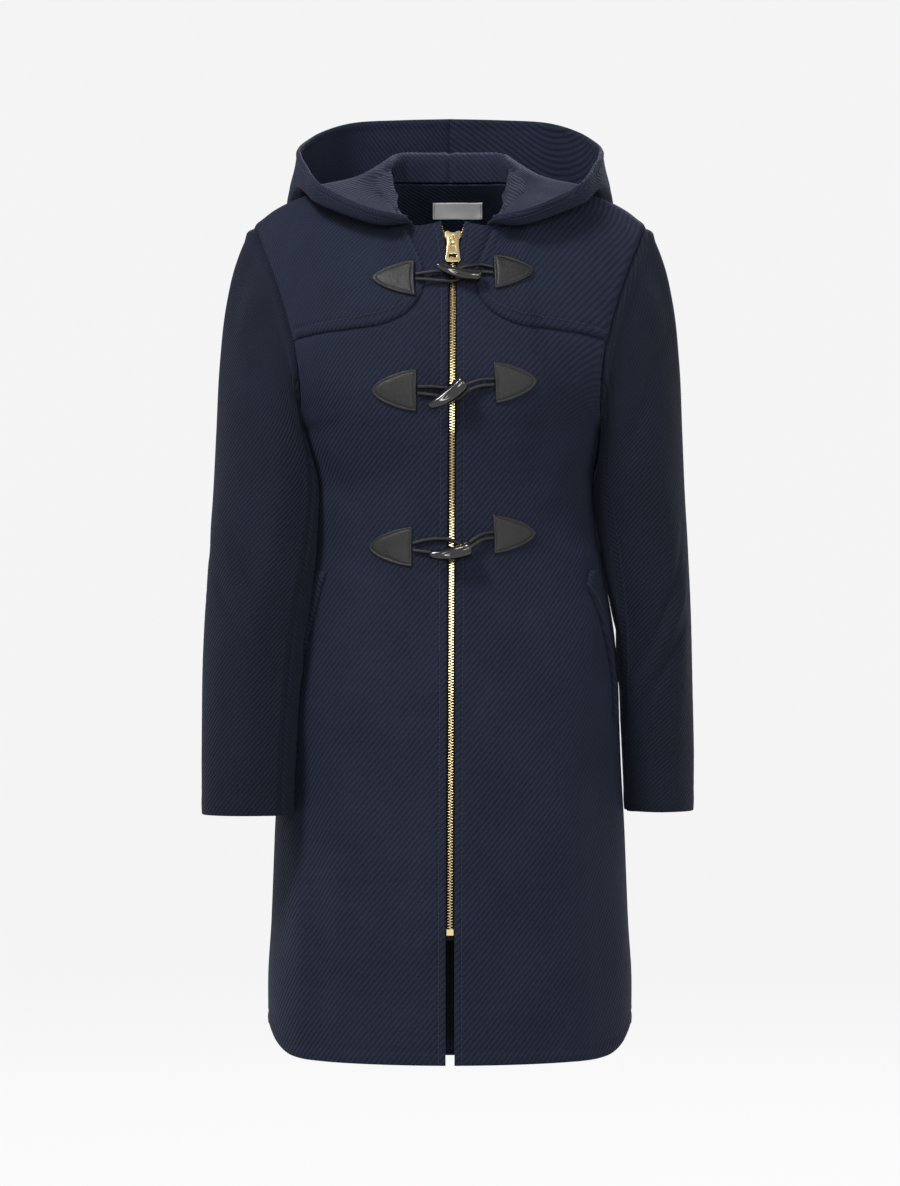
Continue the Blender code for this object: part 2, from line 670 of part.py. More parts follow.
def make_sleeve(side, armhole, armhole_normals, outward):
    """Top and under sleeve, from the armhole's ring down to the cuff."""
    levels = [row[0] for row in SLEEVES[side]]
    lap = np.array([LAPPED.get(min(k, len(armhole) - k), 0.0) for k in range(len(armhole))])
    armhole = armhole + armhole_normals * lap[:, None] * (WALL + SEAM_GAP)
    first = sleeve_ring(side, levels[0])
    below = sleeve_ring(side, levels[0] - 0.02)
    falling = unit(below - first)
    rings = []
    for step in CAP_STEPS:
        t = step
        length = np.linalg.norm(first - armhole, axis=1, keepdims=True)
        start = outward * length * 0.55 + np.array((0.0, 0.0, -0.25)) * length
        end = falling * length * 1.0
        ring = (armhole * (1 + 2 * t) * (1 - t) ** 2 + start * t * (1 - t) ** 2
                + first * t * t * (3 - 2 * t) + end * t * t * (t - 1))
        if step:
            ring = np.array([keep_off_body(p, min(1.0, 0.75 + step)) for p in ring])
        rings.append(ring)
    between = [(a + b) / 2 for a, b in zip(levels, levels[1:])]
    for z in sorted(levels + between[:1], reverse=True):
        rings.append(sleeve_ring(side, z))
    points = np.array(rings)
    normals = -grid_normals(points, closed=True)
    normals[0] = armhole_normals
    count = points.shape[1]
    spans = {
        "top": np.arange(UNDER_ROWS, count - UNDER_ROWS + 1),
        "under": np.arange(count - UNDER_ROWS, count + UNDER_ROWS + 1) % count,
    }
    way = np.array((1 if side == "right" else -1, 1, 1))
    for part, span in spans.items():
        drawn = draw_in(points[:, span], ("first_row", "first_column", "last_column"), SEAM_GAP)
        wall("sleeve_%s_%s" % (part, side), drawn * way, normals[:, span] * way, WALL, navy_cloth())


def hermite(start, leave, end, arrive, t):
    """Point of a curve from start to end that leaves and arrives along given directions."""
    return (start * (1 + 2 * t) * (1 - t) ** 2 + leave * t * (1 - t) ** 2
            + end * t * t * (3 - 2 * t) + arrive * t * t * (t - 1))


def hood_profile(seam, crest, trough, rim):
    """One section of the hood: up from the neck seam, over the crest, down and up to the rim."""
    across = trough - crest
    outward = unit(np.array((across[0], across[1], 0.0)))
    up = np.array((0.0, 0.0, 1.0))
    stand = np.linalg.norm(crest - seam)
    fall = np.linalg.norm(across)
    rise = np.linalg.norm(rim - trough)
    flat = min(fall, 0.06)
    pieces = (
        (seam, up * stand, crest, outward * stand * 0.6, HOOD_STEPS["stand"]),
        (crest, outward * flat * 0.8, trough, outward * flat * 0.8, HOOD_STEPS["fall"]),
        (trough, outward * min(rise, 0.11) * 1.1, rim, up * rise * 0.9, HOOD_STEPS["wall"]),
    )
    points = [seam]
    for start, leave, end, arrive, steps in pieces:
        points += [hermite(start, leave, end, arrive, k / steps) for k in range(1, steps + 1)]
    return points


def make_hood(seam, seam_normals):
    """Two halves of the hood, thrown back, on the neckline's points."""
    middles = (seam[1:] + seam[:-1]) / 2
    line = np.empty((2 * len(seam) - 1, 3))
    line[::2], line[1::2] = seam, middles
    leans = np.empty_like(line)
    leans[::2] = seam_normals
    leans[1::2] = (seam_normals[1:] + seam_normals[:-1]) / 2
    turns = np.linspace(0, 1, len(line))
    profiles = []
    for turn, start in zip(turns, line):
        x = read(HOOD, HOOD_COLUMNS, "turn", turn, *HOOD_COLUMNS[1:])
        profiles.append(hood_profile(start + np.array((0, 0, HOOD_SEAT)), x[0:3], x[3:6], x[6:9]))
    points = np.array(profiles).transpose(1, 0, 2)
    points[:, -1, 0] = 0.0
    normals = grid_normals(points)
    normals[:, -1, 0] = 0.0
    normals = unit(normals)
    normals[0] = unit(leans)
    points[:, -1, 0] = SEAM_GAP / 2
    wall("hood_right", points, normals, HOOD_WALL, navy_cloth())
    wall("hood_left", mirror(points), mirror(normals), HOOD_WALL, navy_cloth())


def yoke_outline():
    """Outline of the right yoke: its rounded lower edge, the armhole, the shoulder and the neck."""
    edge = np.array(YOKE_EDGE)
    lengths = np.concatenate(([0], np.cumsum(np.linalg.norm(np.diff(edge, axis=0), axis=1))))
    curve = [spline(lengths, edge, at) for at in np.linspace(0, lengths[-1], 22)]
    armhole = [torso_frame("front", YOKE_INSET, climb)[0][[0, 2]]
               for climb in (0.48, 0.57, 0.69, 0.80, 0.90, 0.975)]
    shoulder = [torso_frame("front", across, 0.985)[0][[0, 2]] for across in (0.9, 0.8, 0.7, 0.6)]
    neck = [torso_frame("front", across, 0.93)[0][[0, 2]] for across in (0.5, 0.42, 0.33, 0.25)]
    return [tuple(p) for p in curve + armhole + shoulder + neck]


def make_yokes():
    """Curved yokes laid on the fronts, from the neck and shoulder down to their rounded edge."""
    outline = yoke_outline()
    for side, flip in (("right", 1), ("left", -1)):
        laid_piece("yoke_" + side, side, [(x * flip, z) for x, z in outline], YOKE_LIFT,
                   YOKE_WALL, navy_cloth())


def make_welts():
    """Slanted pocket welts on the sides of the fronts."""
    inner, outer = [], []
    for step in np.linspace(0, 1, 5):
        across = WELT["across"][0] + step * (WELT["across"][1] - WELT["across"][0])
        down = WELT["down"][0] + step * (WELT["down"][1] - WELT["down"][0])
        for line, extra in ((inner, 0.0), (outer, WELT["width"])):
            line.append(tuple(torso_frame("front", across + extra, -down)[0][[0, 2]]))
    outline = inner + outer[::-1]
    for side, flip in (("right", 1), ("left", -1)):
        laid_piece("pocket_welt_" + side, side, [(x * flip, z) for x, z in outline],
                   LAY_GAP * 0.75, WELT["wall"], navy_cloth())


def make_label():
    """Blank label inside the back of the neck."""
    points, normals = [], []
    for z in (LABEL["z"] - LABEL["height"] / 2, LABEL["z"], LABEL["z"] + LABEL["height"] / 2):
        row, tilt = [], []
        for x in LABEL["x"] + np.linspace(-0.5, 0.5, 7) * LABEL["width"]:
            flip = np.array((1 if x >= 0 else -1, 1, 1))
            point, normal, _, _ = torso_frame("back", *find_on_torso("back", abs(x), z))
            row.append(point * flip)
            tilt.append(normal * flip)
        points.append(row)
        normals.append(tilt)
    lift = -(WALL + LABEL["wall"]) / 2 - LAY_GAP
    wall("label", np.array(points), np.array(normals), LABEL["wall"],
         material("white label", (0.85, 0.85, 0.84), 0.6), lift)


def make_zip_tapes():
    """Two tapes behind the front edges, which part in a V above the slider."""
    rows = torso_grids()["front"][0][:, 0, 2]
    levels = [ZIP_BOTTOM_Z - 0.008] + [z for z in rows if ZIP_BOTTOM_Z < z < ZIP_TOP_Z - 0.002]
    levels += [-0.057, -0.052, -0.041, -0.036, -0.031, ZIP_TOP_Z - 0.0015]
    finish = material("black tape", (0.01, 0.01, 0.012), 0.8)
    for side, flip in (("right", 1), ("left", -1)):
        points = []
        for z in sorted(levels):
            row = []
            for out in (0.0, TAPE_WIDTH / 2, TAPE_WIDTH):
                x = tape_x(z) + out
                spot = find_on_torso("front", max(x, edge_x(z)), z)
                cloth, normal, _, _ = torso_frame("front", *spot)
                row.append((zip_x(z) + flip * x, cloth[1] - TAPE_DEPTH * normal[1],
                            z - TAPE_DEPTH * normal[2]))
            points.append(row)
        points = np.array(points)
        normals = grid_normals(points)
        normals *= np.sign(-normals[..., 1:2])
        wall("zip_tape_" + side, points, normals, TAPE_WALL, finish)


def place_on_zip(made):
    """Stand a piece that is modelled about the slider's middle on the sloping zip."""
    slope = (centre_y(SLIDER_Z + 0.008) - centre_y(SLIDER_Z - 0.008)) / 0.016
    made.location = (zip_x(SLIDER_Z), centre_y(SLIDER_Z) + TAPE_DEPTH, SLIDER_Z)
    made.rotation_euler = (-math.atan(slope), 0, 0)


def make_slider():
    """Slider: two plates round the tapes, joined by a post, with a bridge for the pull tab."""
    metal = gold_metal()
    half = ((0.0045, -0.0110), (0.0060, -0.0095), (0.0060, 0.0015), (0.0080, 0.0040), (0.0080, 0.0095),
            (0.0060, 0.0108))
    outline = list(half) + [(-x, z) for x, z in reversed(half)]
    slider = slab("zip_slider", outline, -0.0034, -0.0018, metal)
    behind = slab("slider_back_plate", outline, 0.0018, 0.0030, metal)
    post = box("slider_post", (-0.0012, 0.0012), (-0.0020, 0.0020), (0.0060, 0.0095), metal)
    lips = [box("slider_lip_%d" % k, (min(a, b), max(a, b)), (-0.0030, -0.0007), (-0.0090, 0.0010), metal)
            for k, (a, b) in enumerate(((0.0046, 0.0058), (-0.0046, -0.0058)))]
    bridge = box("slider_bridge", (-0.0015, 0.0015), (-0.0077, -0.0030), (-0.0055, 0.0060), metal)
    combine(slider, [behind, post, bridge] + lips, "UNION")
    passage = box("slider_passage", (-0.004, 0.004), (-0.0064, -0.0034), (-0.0040, 0.0045), metal)
    combine(slider, [passage], "DIFFERENCE")
    for piece in [slider, behind, post, bridge, passage] + lips:
        place_on_zip(piece)


def make_pull_tab():
    """Pull tab, hung by its cross bar under the slider's bridge."""
    metal = gold_metal()
    pin = np.array((0.0, -0.0049, 0.0030))
    half = ((0.0062, -0.0268), (0.0075, -0.0250), (0.0050, 0.0000), (0.0044, 0.0007))
    outline = [(x, z) for x, z in half] + [(-x, z) for x, z in reversed(half)]
    tab = slab("zip_pull_tab", outline, -0.0007, 0.0007, metal)
    slot = box("pull_slot", (-0.0024, 0.0024), (-0.002, 0.002), (-0.0105, -0.0007), metal)
    window = box("pull_window", (-0.0040, 0.0040), (-0.002, 0.002), (-0.0222, -0.0182), metal)
    combine(tab, [slot, window], "DIFFERENCE")
    for piece in (tab, slot, window):
        place_on_zip(piece)
        turn = -piece.rotation_euler[0]
        offset = np.array((0, pin[1] * math.cos(turn) + pin[2] * math.sin(turn),
                           -pin[1] * math.sin(turn) + pin[2] * math.cos(turn)))
        piece.location = np.array(piece.location) + offset


def make_bottom_stop():
    """Metal stop clamped over the tapes at the zip's foot."""
    y = centre_y(ZIP_BOTTOM_Z) + TAPE_DEPTH - TAPE_WALL / 2 - SEAM_GAP
    middle = zip_x(ZIP_BOTTOM_Z)
    box("zip_bottom_stop", (middle - 0.0034, middle + 0.0034), (y - 0.0016, y),
        (ZIP_BOTTOM_Z - 0.003, ZIP_BOTTOM_Z + 0.003), gold_metal())


def make_leather_tab(level, side, root_x, root_z, length, width, tilt):
    """Rounded leather tab laid on a front, its straight side towards the zip."""
    way = 1 if side == "right" else -1
    turn = math.radians(tilt)
    outline = []
    for k in range(TAB_POINTS + 1):
        angle = math.pi * (k / TAB_POINTS - 0.5)
        along = length * abs(math.cos(angle)) ** (2 / TAB_SQUARENESS)
        over = width / 2 * math.copysign(abs(math.sin(angle)) ** (2 / TAB_SQUARENESS), angle)
        outline.append((root_x + way * (along * math.cos(turn) - over * math.sin(turn)),
                        root_z + along * math.sin(turn) + over * math.cos(turn)))
    lift = LAY_GAP + (YOKE_WALL + YOKE_LIFT if level == "top" else 0.0)
    laid_piece("leather_tab_%s_%s" % (level, side), side, outline, lift, TAB_LEATHER,
               black_leather())


def make_toggle(level, x, z, length, radius, tilt, lift):
    """Horn-shaped toggle, pointed on the left and cut off on the right."""
    reach = np.array((math.cos(math.radians(tilt)), math.sin(math.radians(tilt)))) * length * 0.4
    left = on_front(x - reach[0], z - reach[1], lift + radius)
    right = on_front(x + reach[0], z + reach[1], lift + radius)
    middle = (left + right) / 2
    along = unit(right - left)
    out = unit(np.cross(along, np.cross(np.array((0.0, -1.0, 0.0)), along)))
    over = np.cross(out, along)
    sides = 10
    vertices, faces = [], []
    for share, size in TOGGLE_SHAPE:
        bow = length * (0.03 - 0.06 * (1 - (2 * share - 1) ** 2))
        core = middle + along * (share - 0.5) * length + over * bow
        for k in range(sides):
            turn = 2 * math.pi * k / sides
            vertices.append(core + radius * size * (over * math.cos(turn) + out * math.sin(turn)))
    for i in range(len(TOGGLE_SHAPE) - 1):
        for k in range(sides):
            after = (k + 1) % sides
            faces.append((i * sides + k, i * sides + after, (i + 1) * sides + after,
                          (i + 1) * sides + k))
    last = (len(TOGGLE_SHAPE) - 1) * sides
    faces += [tuple(range(sides)), tuple(range(last, last + sides))]
    solid("toggle_" + level, vertices, faces, material("black horn", (0.01, 0.01, 0.01), 0.2))


def make_fastenings():
    """Leather tabs, toggles and the cord loops between them."""
    for row in LEATHER_TABS:
        make_leather_tab(*row)
    for row in TOGGLES:
        make_toggle(*row)
    for (level, side), route in CORDS.items():
        tube("cord_%s_%s" % (level, side), [on_front(*spot) for spot in route], CORD_RADIUS,
             black_leather())


def main():
    for old in list(bpy.data.objects):
        bpy.data.objects.remove(old, do_unlink=True)
    front, front_normals = torso_grids()["front"]
    back, back_normals = torso_grids()["back"]
    whole_back, whole_normals = make_body(front, front_normals, back, back_normals)
    make_lining(whole_back, whole_normals)

    arm_front, arm_back = front[SKIRT_ROWS:, -1], back[SKIRT_ROWS:, -1]
    armhole = np.concatenate((arm_front[:-1], arm_back[:0:-1]))
    arm_normals = np.concatenate((front_normals[SKIRT_ROWS:-1, -1],
                                  back_normals[:SKIRT_ROWS:-1, -1]))
    outward_front = unit(front[SKIRT_ROWS:, -1] - front[SKIRT_ROWS:, -2])
    outward_back = unit(back[SKIRT_ROWS:, -1] - back[SKIRT_ROWS:, -2])
    outward = np.concatenate((outward_front[:-1], outward_back[:0:-1]))
    for side in ("left", "right"):
        make_sleeve(side, armhole, arm_normals, outward)

    on_neck = np.s_[-1, HOOD_START:FRONT_NECK_POINT + 1]
    behind_neck = np.s_[-1, BACK_NECK_POINT - 1::-1]
    seam = np.concatenate((front[on_neck], back[behind_neck]))
    seam_normals = np.concatenate((front_normals[on_neck], back_normals[behind_neck]))
    make_hood(seam, seam_normals)

    make_yokes()
    make_welts()
    make_label()
    make_zip_tapes()
    make_slider()
    make_pull_tab()
    make_bottom_stop()
    make_fastenings()


main()
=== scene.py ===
"""The looks of a hooded duffle coat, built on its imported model, in metres.

The front faces -Y, the top is +Z, and "right" is +X, as seen from the front. Each cloth piece is
a fine shell on its wall's own form, with its folds, seams and stitches worked in.
"""
import math

import bmesh
import bpy
import numpy as np
from mathutils import Matrix, Vector
from mathutils.kdtree import KDTree


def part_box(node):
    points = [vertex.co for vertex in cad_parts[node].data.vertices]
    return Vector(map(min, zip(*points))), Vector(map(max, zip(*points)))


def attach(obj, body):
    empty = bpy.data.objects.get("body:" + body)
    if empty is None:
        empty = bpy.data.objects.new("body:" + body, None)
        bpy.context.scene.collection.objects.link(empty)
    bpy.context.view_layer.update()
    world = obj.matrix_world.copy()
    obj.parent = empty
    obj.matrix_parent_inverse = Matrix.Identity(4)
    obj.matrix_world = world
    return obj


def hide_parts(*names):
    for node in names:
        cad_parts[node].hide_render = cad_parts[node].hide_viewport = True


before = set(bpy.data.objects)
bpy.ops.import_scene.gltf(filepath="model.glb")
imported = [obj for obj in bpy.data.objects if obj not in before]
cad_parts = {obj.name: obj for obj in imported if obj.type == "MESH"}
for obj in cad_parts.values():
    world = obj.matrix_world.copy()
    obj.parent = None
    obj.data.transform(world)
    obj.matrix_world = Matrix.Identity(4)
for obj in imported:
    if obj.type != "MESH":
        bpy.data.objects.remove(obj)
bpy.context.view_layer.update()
BODY, PULL = "coat", "zip_pull"

# ---- sizes --------------------------------------------------------------------------------
CLOTH = 0.0025            # coating cloth, one layer
HOOD_CLOTH = 0.0028
STEP = 0.0036            # spacing of a cloth mesh
SEAM_DEPTH = 0.0018      # how far a seam pulls the cloth in
SEAM_WIDTH = 0.0026
SEAM_SWELL = 0.0010      # how far the cloth swells beside a seam
FOLD_SWELL = 0.0007      # extra thickness of a turned edge
TURNED_EDGE = 0.0012     # how far the round of a turned edge reaches out
SEWN_EDGE = 0.0003       # the same on a sewn edge
HEM = (0.0125, 0.0005)   # a hem's depth, and its swell
CUFF = (0.022, 0.0004)
LINING_WALL = 0.001
LINING_DROP = 0.0040     # how far the lining hangs off the back
LABEL_WALL = 0.0006
TOPSTITCH = 0.0060       # from a turned edge to its line of stitches
# stitches: thickness, length and gap
CLOTH_STITCH = (0.00042, 0.0030, 0.0008)
LEATHER_STITCH = (0.00036, 0.0022, 0.0007)
LABEL_STITCH = (0.00025, 0.0014, 0.0006)
FINE_EDGE = (0.0, 0.0010, 0.0022, 0.0034, 0.0046, 0.0056, 0.0062, 0.0070, 0.0082, 0.0100, 0.0125)
FINE_SEAM = (0.0, 0.0010, 0.0022, 0.0036, 0.0055, 0.0080)

TOOTH_PITCH = 0.0028
TWILL_PITCH = 0.0044
SLEEVE_PITCH = 0.0036


# ---- points and curves --------------------------------------------------------------------
def unit(vectors):
    """Scale vectors to length one."""
    vectors = np.asarray(vectors, float)
    return vectors / np.maximum(np.linalg.norm(vectors, axis=-1, keepdims=True), 1e-12)


def run_lengths(points):
    """Distance along a line of points, from its start to each of them."""
    return np.concatenate(([0.0], np.cumsum(np.linalg.norm(np.diff(points, axis=0), axis=-1))))


def smooth_step(t):
    """Ease from 0 to 1."""
    t = np.clip(t, 0.0, 1.0)
    return t * t * (3 - 2 * t)


def bump(distance, width):
    """Soft round ridge, 1 in its middle and nearly 0 two widths away."""
    return np.exp(-(distance / width) ** 2)


def read_curve(stations, values, at, corner=0.5):
    """Read a smooth curve through rows of values; it stays sharp where it turns a corner.

    corner is the cosine of the smallest turn that stays sharp.
    """
    step = np.diff(stations)
    shape = (-1,) + (1,) * (values.ndim - 1)
    chords = np.diff(values, axis=0) / step.reshape(shape)
    before = np.concatenate((chords[:1], chords))
    after = np.concatenate((chords, chords[-1:]))
    reach_before = np.concatenate((step[:1], step)).reshape(shape)
    reach_after = np.concatenate((step, step[-1:])).reshape(shape)
    smooth = (before * reach_after + after * reach_before) / (reach_before + reach_after)
    turn = (unit(before) * unit(after)).sum(axis=-1, keepdims=True)
    sharp = turn < corner
    leave = np.where(sharp, after, smooth)
    arrive = np.where(sharp, before, smooth)
    i = np.clip(np.searchsorted(stations, at, side="right") - 1, 0, len(step) - 1)
    wide = step[i].reshape(shape)
    t = ((at - stations[i]) / step[i]).reshape(shape)
    return (values[i] * (1 + 2 * t) * (1 - t) ** 2 + leave[i] * wide * t * (1 - t) ** 2
            + values[i + 1] * t * t * (3 - 2 * t) + arrive[i + 1] * wide * t * t * (t - 1))


def stations(length, step, fine_start=(0.0,), fine_end=(0.0,)):
    """Places along a length: close together at either end, and a step apart between."""
    start = [d for d in fine_start if d < length * 0.45]
    end = [length - d for d in fine_end if d < length * 0.45]
    gap = min(end) - max(start)
    between = np.linspace(max(start), min(end), max(2, int(round(gap / step)) + 1))[1:-1]
    return np.array(sorted(start + list(between) + end))


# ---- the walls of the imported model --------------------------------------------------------
def merged(node):
    """A bmesh copy of a node with its loose triangles joined."""
    shape = bmesh.new()
    shape.from_mesh(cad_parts[node].data)
    bmesh.ops.remove_doubles(shape, verts=shape.verts, dist=1e-6)
    return shape


def islands(shape):
    """Lists of vertices that hang together."""
    left, found = set(shape.verts), []
    while left:
        stack, group = [left.pop()], []
        while stack:
            vertex = stack.pop()
            group.append(vertex)
            for edge in vertex.link_edges:
                other = edge.other_vert(vertex)
                if other in left:
                    left.remove(other)
                    stack.append(other)
        found.append(group)
    return found


def rim_loop(group):
    """Vertices round the open edge of an island, in order."""
    edges = {v: [e for e in v.link_edges if len(e.link_faces) == 1] for v in group}
    start = next(v for v in group if edges[v])
    loop, came = [start], None
    while True:
        edge = next(e for e in edges[loop[-1]] if e is not came)
        after = edge.other_vert(loop[-1])
        if after is start:
            return loop
        loop.append(after)
        came = edge


def peel(group):
    """Rows of vertices of an island that is a grid of split squares."""
    loop = rim_loop(group)
    near = {v: {e.other_vert(v) for e in v.link_edges} for v in group}
    half = (len(loop) + 4) / 2
    spread = math.sqrt(max(half * half - 4 * len(group), 0.0))
    for columns in (round((half - spread) / 2), round((half + spread) / 2)):
        rows_wanted = len(group) // columns
        for start in range(len(loop)):
            rows = [[loop[(start + k) % len(loop)] for k in range(columns)]]
            used = set(rows[0])
            while len(rows) < rows_wanted:
                ring = set().union(*(near[v] for v in rows[-1])) - used
                row = [loop[start - len(rows)]]
                while len(row) < columns and len(ring) == columns:
                    options = [v for v in near[row[-1]] if v in ring and v not in row]
                    if len(options) != 1:
                        break
                    row += options
                if len(row) != columns or row[0] not in ring:
                    break
                rows.append(row)
                used |= ring
            if len(rows) == rows_wanted and len(used) == len(group):
                return rows
    raise ValueError("this wall is no grid")


def read_wall(node, thickness, outside, first, last):
    """Middle points and outward normals of a wall, as a grid of rows and columns.

    outside is a point far off its outer face. The grid's first row runs from the corner that is
    nearest to first to the one that is nearest to last.
    """
    shape = merged(node)
    through = {}
    for edge in shape.edges:
        if abs(edge.calc_length() - thickness) < thickness * 2e-3:
            for vertex in edge.verts:
                through[vertex] = (edge.verts[0].co - edge.verts[1].co).normalized()
    cut = []
    for face in shape.faces:
        ways = [through.get(vertex) for vertex in face.verts]
        if any(abs(e.calc_length() - thickness) < thickness * 2e-3 for e in face.edges) or (
                None not in ways and all(abs(face.normal.dot(way)) < 0.3 for way in ways)):
            cut.append(face)
    bmesh.ops.delete(shape, geom=cut, context="FACES")
    groups = islands(shape)
    outside = Vector(outside)
    groups.sort(key=lambda g: min((v.co - outside).length for v in g))
    outer, inner = groups[0], groups[1]
    rows = peel(outer)
    tree = KDTree(len(inner))
    for k, vertex in enumerate(inner):
        tree.insert(vertex.co, k)
    tree.balance()
    face = np.array([[v.co[:] for v in row] for row in rows])
    back = np.array([[tree.find(v.co)[0][:] for v in row] for row in rows])
    shape.free()
    turned = []
    for grid in ((face, back), (face.transpose(1, 0, 2), back.transpose(1, 0, 2))):
        for rows_way in (1, -1):
            for columns_way in (1, -1):
                turned.append([g[::rows_way, ::columns_way] for g in grid])
    first, last = np.array(first), np.array(last)
    face, back = min(turned, key=lambda g: np.linalg.norm(g[0][0, 0] - first)
                     + np.linalg.norm(g[0][0, -1] - last))
    return (face + back) / 2, unit(face - back)


# ---- cloth --------------------------------------------------------------------------------
class Cloth:
    """A fine grid of points with their normals, and how far each lies across and down."""

    def __init__(self, points, normals, step=STEP, fine=("", "", "", ""), corner=0.5):
        """fine gives first row, last row, first column, last column: seam, edge or nothing."""
        lists = {"": (0.0,), "seam": FINE_SEAM, "edge": FINE_EDGE}
        lengths = np.linalg.norm(np.diff(points, axis=0), axis=-1).mean(axis=1)
        down = np.concatenate(([0.0], np.cumsum(lengths)))
        lengths = np.linalg.norm(np.diff(points, axis=1), axis=-1).mean(axis=0)
        across = np.concatenate(([0.0], np.cumsum(lengths)))
        at_down = stations(down[-1], step, lists[fine[0]], lists[fine[1]])
        at_across = stations(across[-1], step, lists[fine[2]], lists[fine[3]])
        parts = []
        for values in (points, normals):
            tall = read_curve(down, values, at_down, corner)
            parts.append(read_curve(across, tall.transpose(1, 0, 2), at_across, corner)
                         .transpose(1, 0, 2))
        self.points, self.normals = parts[0], unit(parts[1])
        self.renew()

    @classmethod
    def of(cls, points, normals):
        """A cloth from points that are fine already."""
        made = cls.__new__(cls)
        made.points, made.normals = points, normals
        made.renew()
        return made

    def renew(self):
        """Work the normals and lengths out again from the points."""
        p = self.points
        normals = np.cross(np.gradient(p, axis=1), np.gradient(p, axis=0))
        way = np.sign((normals * self.normals).sum(axis=-1, keepdims=True))
        fresh = unit(normals * way)
        bad = np.linalg.norm(normals, axis=-1) < 1e-14
        fresh[bad] = self.normals[bad]
        self.normals = fresh
        self.row_run = np.array([run_lengths(row) for row in p])
        self.column_run = np.array([run_lengths(column) for column in p.transpose(1, 0, 2)]).T

    def push(self, amount):
        """Move the points along their normals."""
        self.points = self.points + self.normals * np.asarray(amount)[..., None]

    def from_side(self, side):
        """Distance of every point from one side of the piece, along the cloth."""
        runs = {"first_row": self.column_run, "last_row": self.column_run[-1:] - self.column_run,
                "first_column": self.row_run, "last_column": self.row_run[:, -1:] - self.row_run}
        return runs[side]

    def sew(self, *sides):
        """Pull the cloth in along seams, with a soft swell beside them."""
        for side in sides:
            d = self.from_side(side)
            self.push(SEAM_SWELL * bump(d - 0.0065, 0.0040) - SEAM_DEPTH * bump(d, SEAM_WIDTH))

    def turn(self, side, stitch=TOPSTITCH, swell=FOLD_SWELL):
        """Thicken a turned edge, and pull it down at its line of stitches."""
        d = self.from_side(side)
        self.push(swell * bump(d - stitch * 0.45, stitch * 0.35) - 0.0005 * bump(d - stitch, 0.0010)
                  + swell * 0.4 * bump(d - stitch - 0.0030, 0.0025))

    def crease(self, table, place):
        """Add soft folds. place gives two coordinates of each point, in metres."""
        total = np.zeros(self.points.shape[:2])
        for x0, z0, x1, z1, bow, width, height in table:
            start, end = np.array((x0, z0)), np.array((x1, z1))
            side = np.array((z1 - z0, x0 - x1)) * bow
            t = np.linspace(0, 1, 25)[:, None]
            line = start * (1 - t) ** 2 + (start + end + side * 2) * t * (1 - t) + end * t * t
            gaps = np.linalg.norm(place[:, :, None] - line, axis=-1)
            nearest = gaps.argmin(axis=-1)
            fade = np.sin(np.pi * (nearest + 0.6) / 25.2) ** 0.8
            total += height * fade * bump(gaps.min(axis=-1), width)
        self.push(total)

    def at(self, rows, columns, lift=0.0):
        """Points over the cloth at fractional rows and columns."""
        rows = np.clip(np.asarray(rows, float), 0, self.points.shape[0] - 1.001)
        columns = np.clip(np.asarray(columns, float), 0, self.points.shape[1] - 1.001)
        normals = unit(blend(self.normals, rows, columns))
        points = blend(self.points, rows, columns)
        return points + normals * np.asarray(lift)[..., None], normals


def blend(values, rows, columns):
    """Read a grid of values at fractional rows and columns."""
    i, j = rows.astype(int), columns.astype(int)
    u, v = (rows - i)[..., None], (columns - j)[..., None]
    return ((1 - u) * ((1 - v) * values[i, j] + v * values[i, j + 1])
            + u * ((1 - v) * values[i + 1, j] + v * values[i + 1, j + 1]))


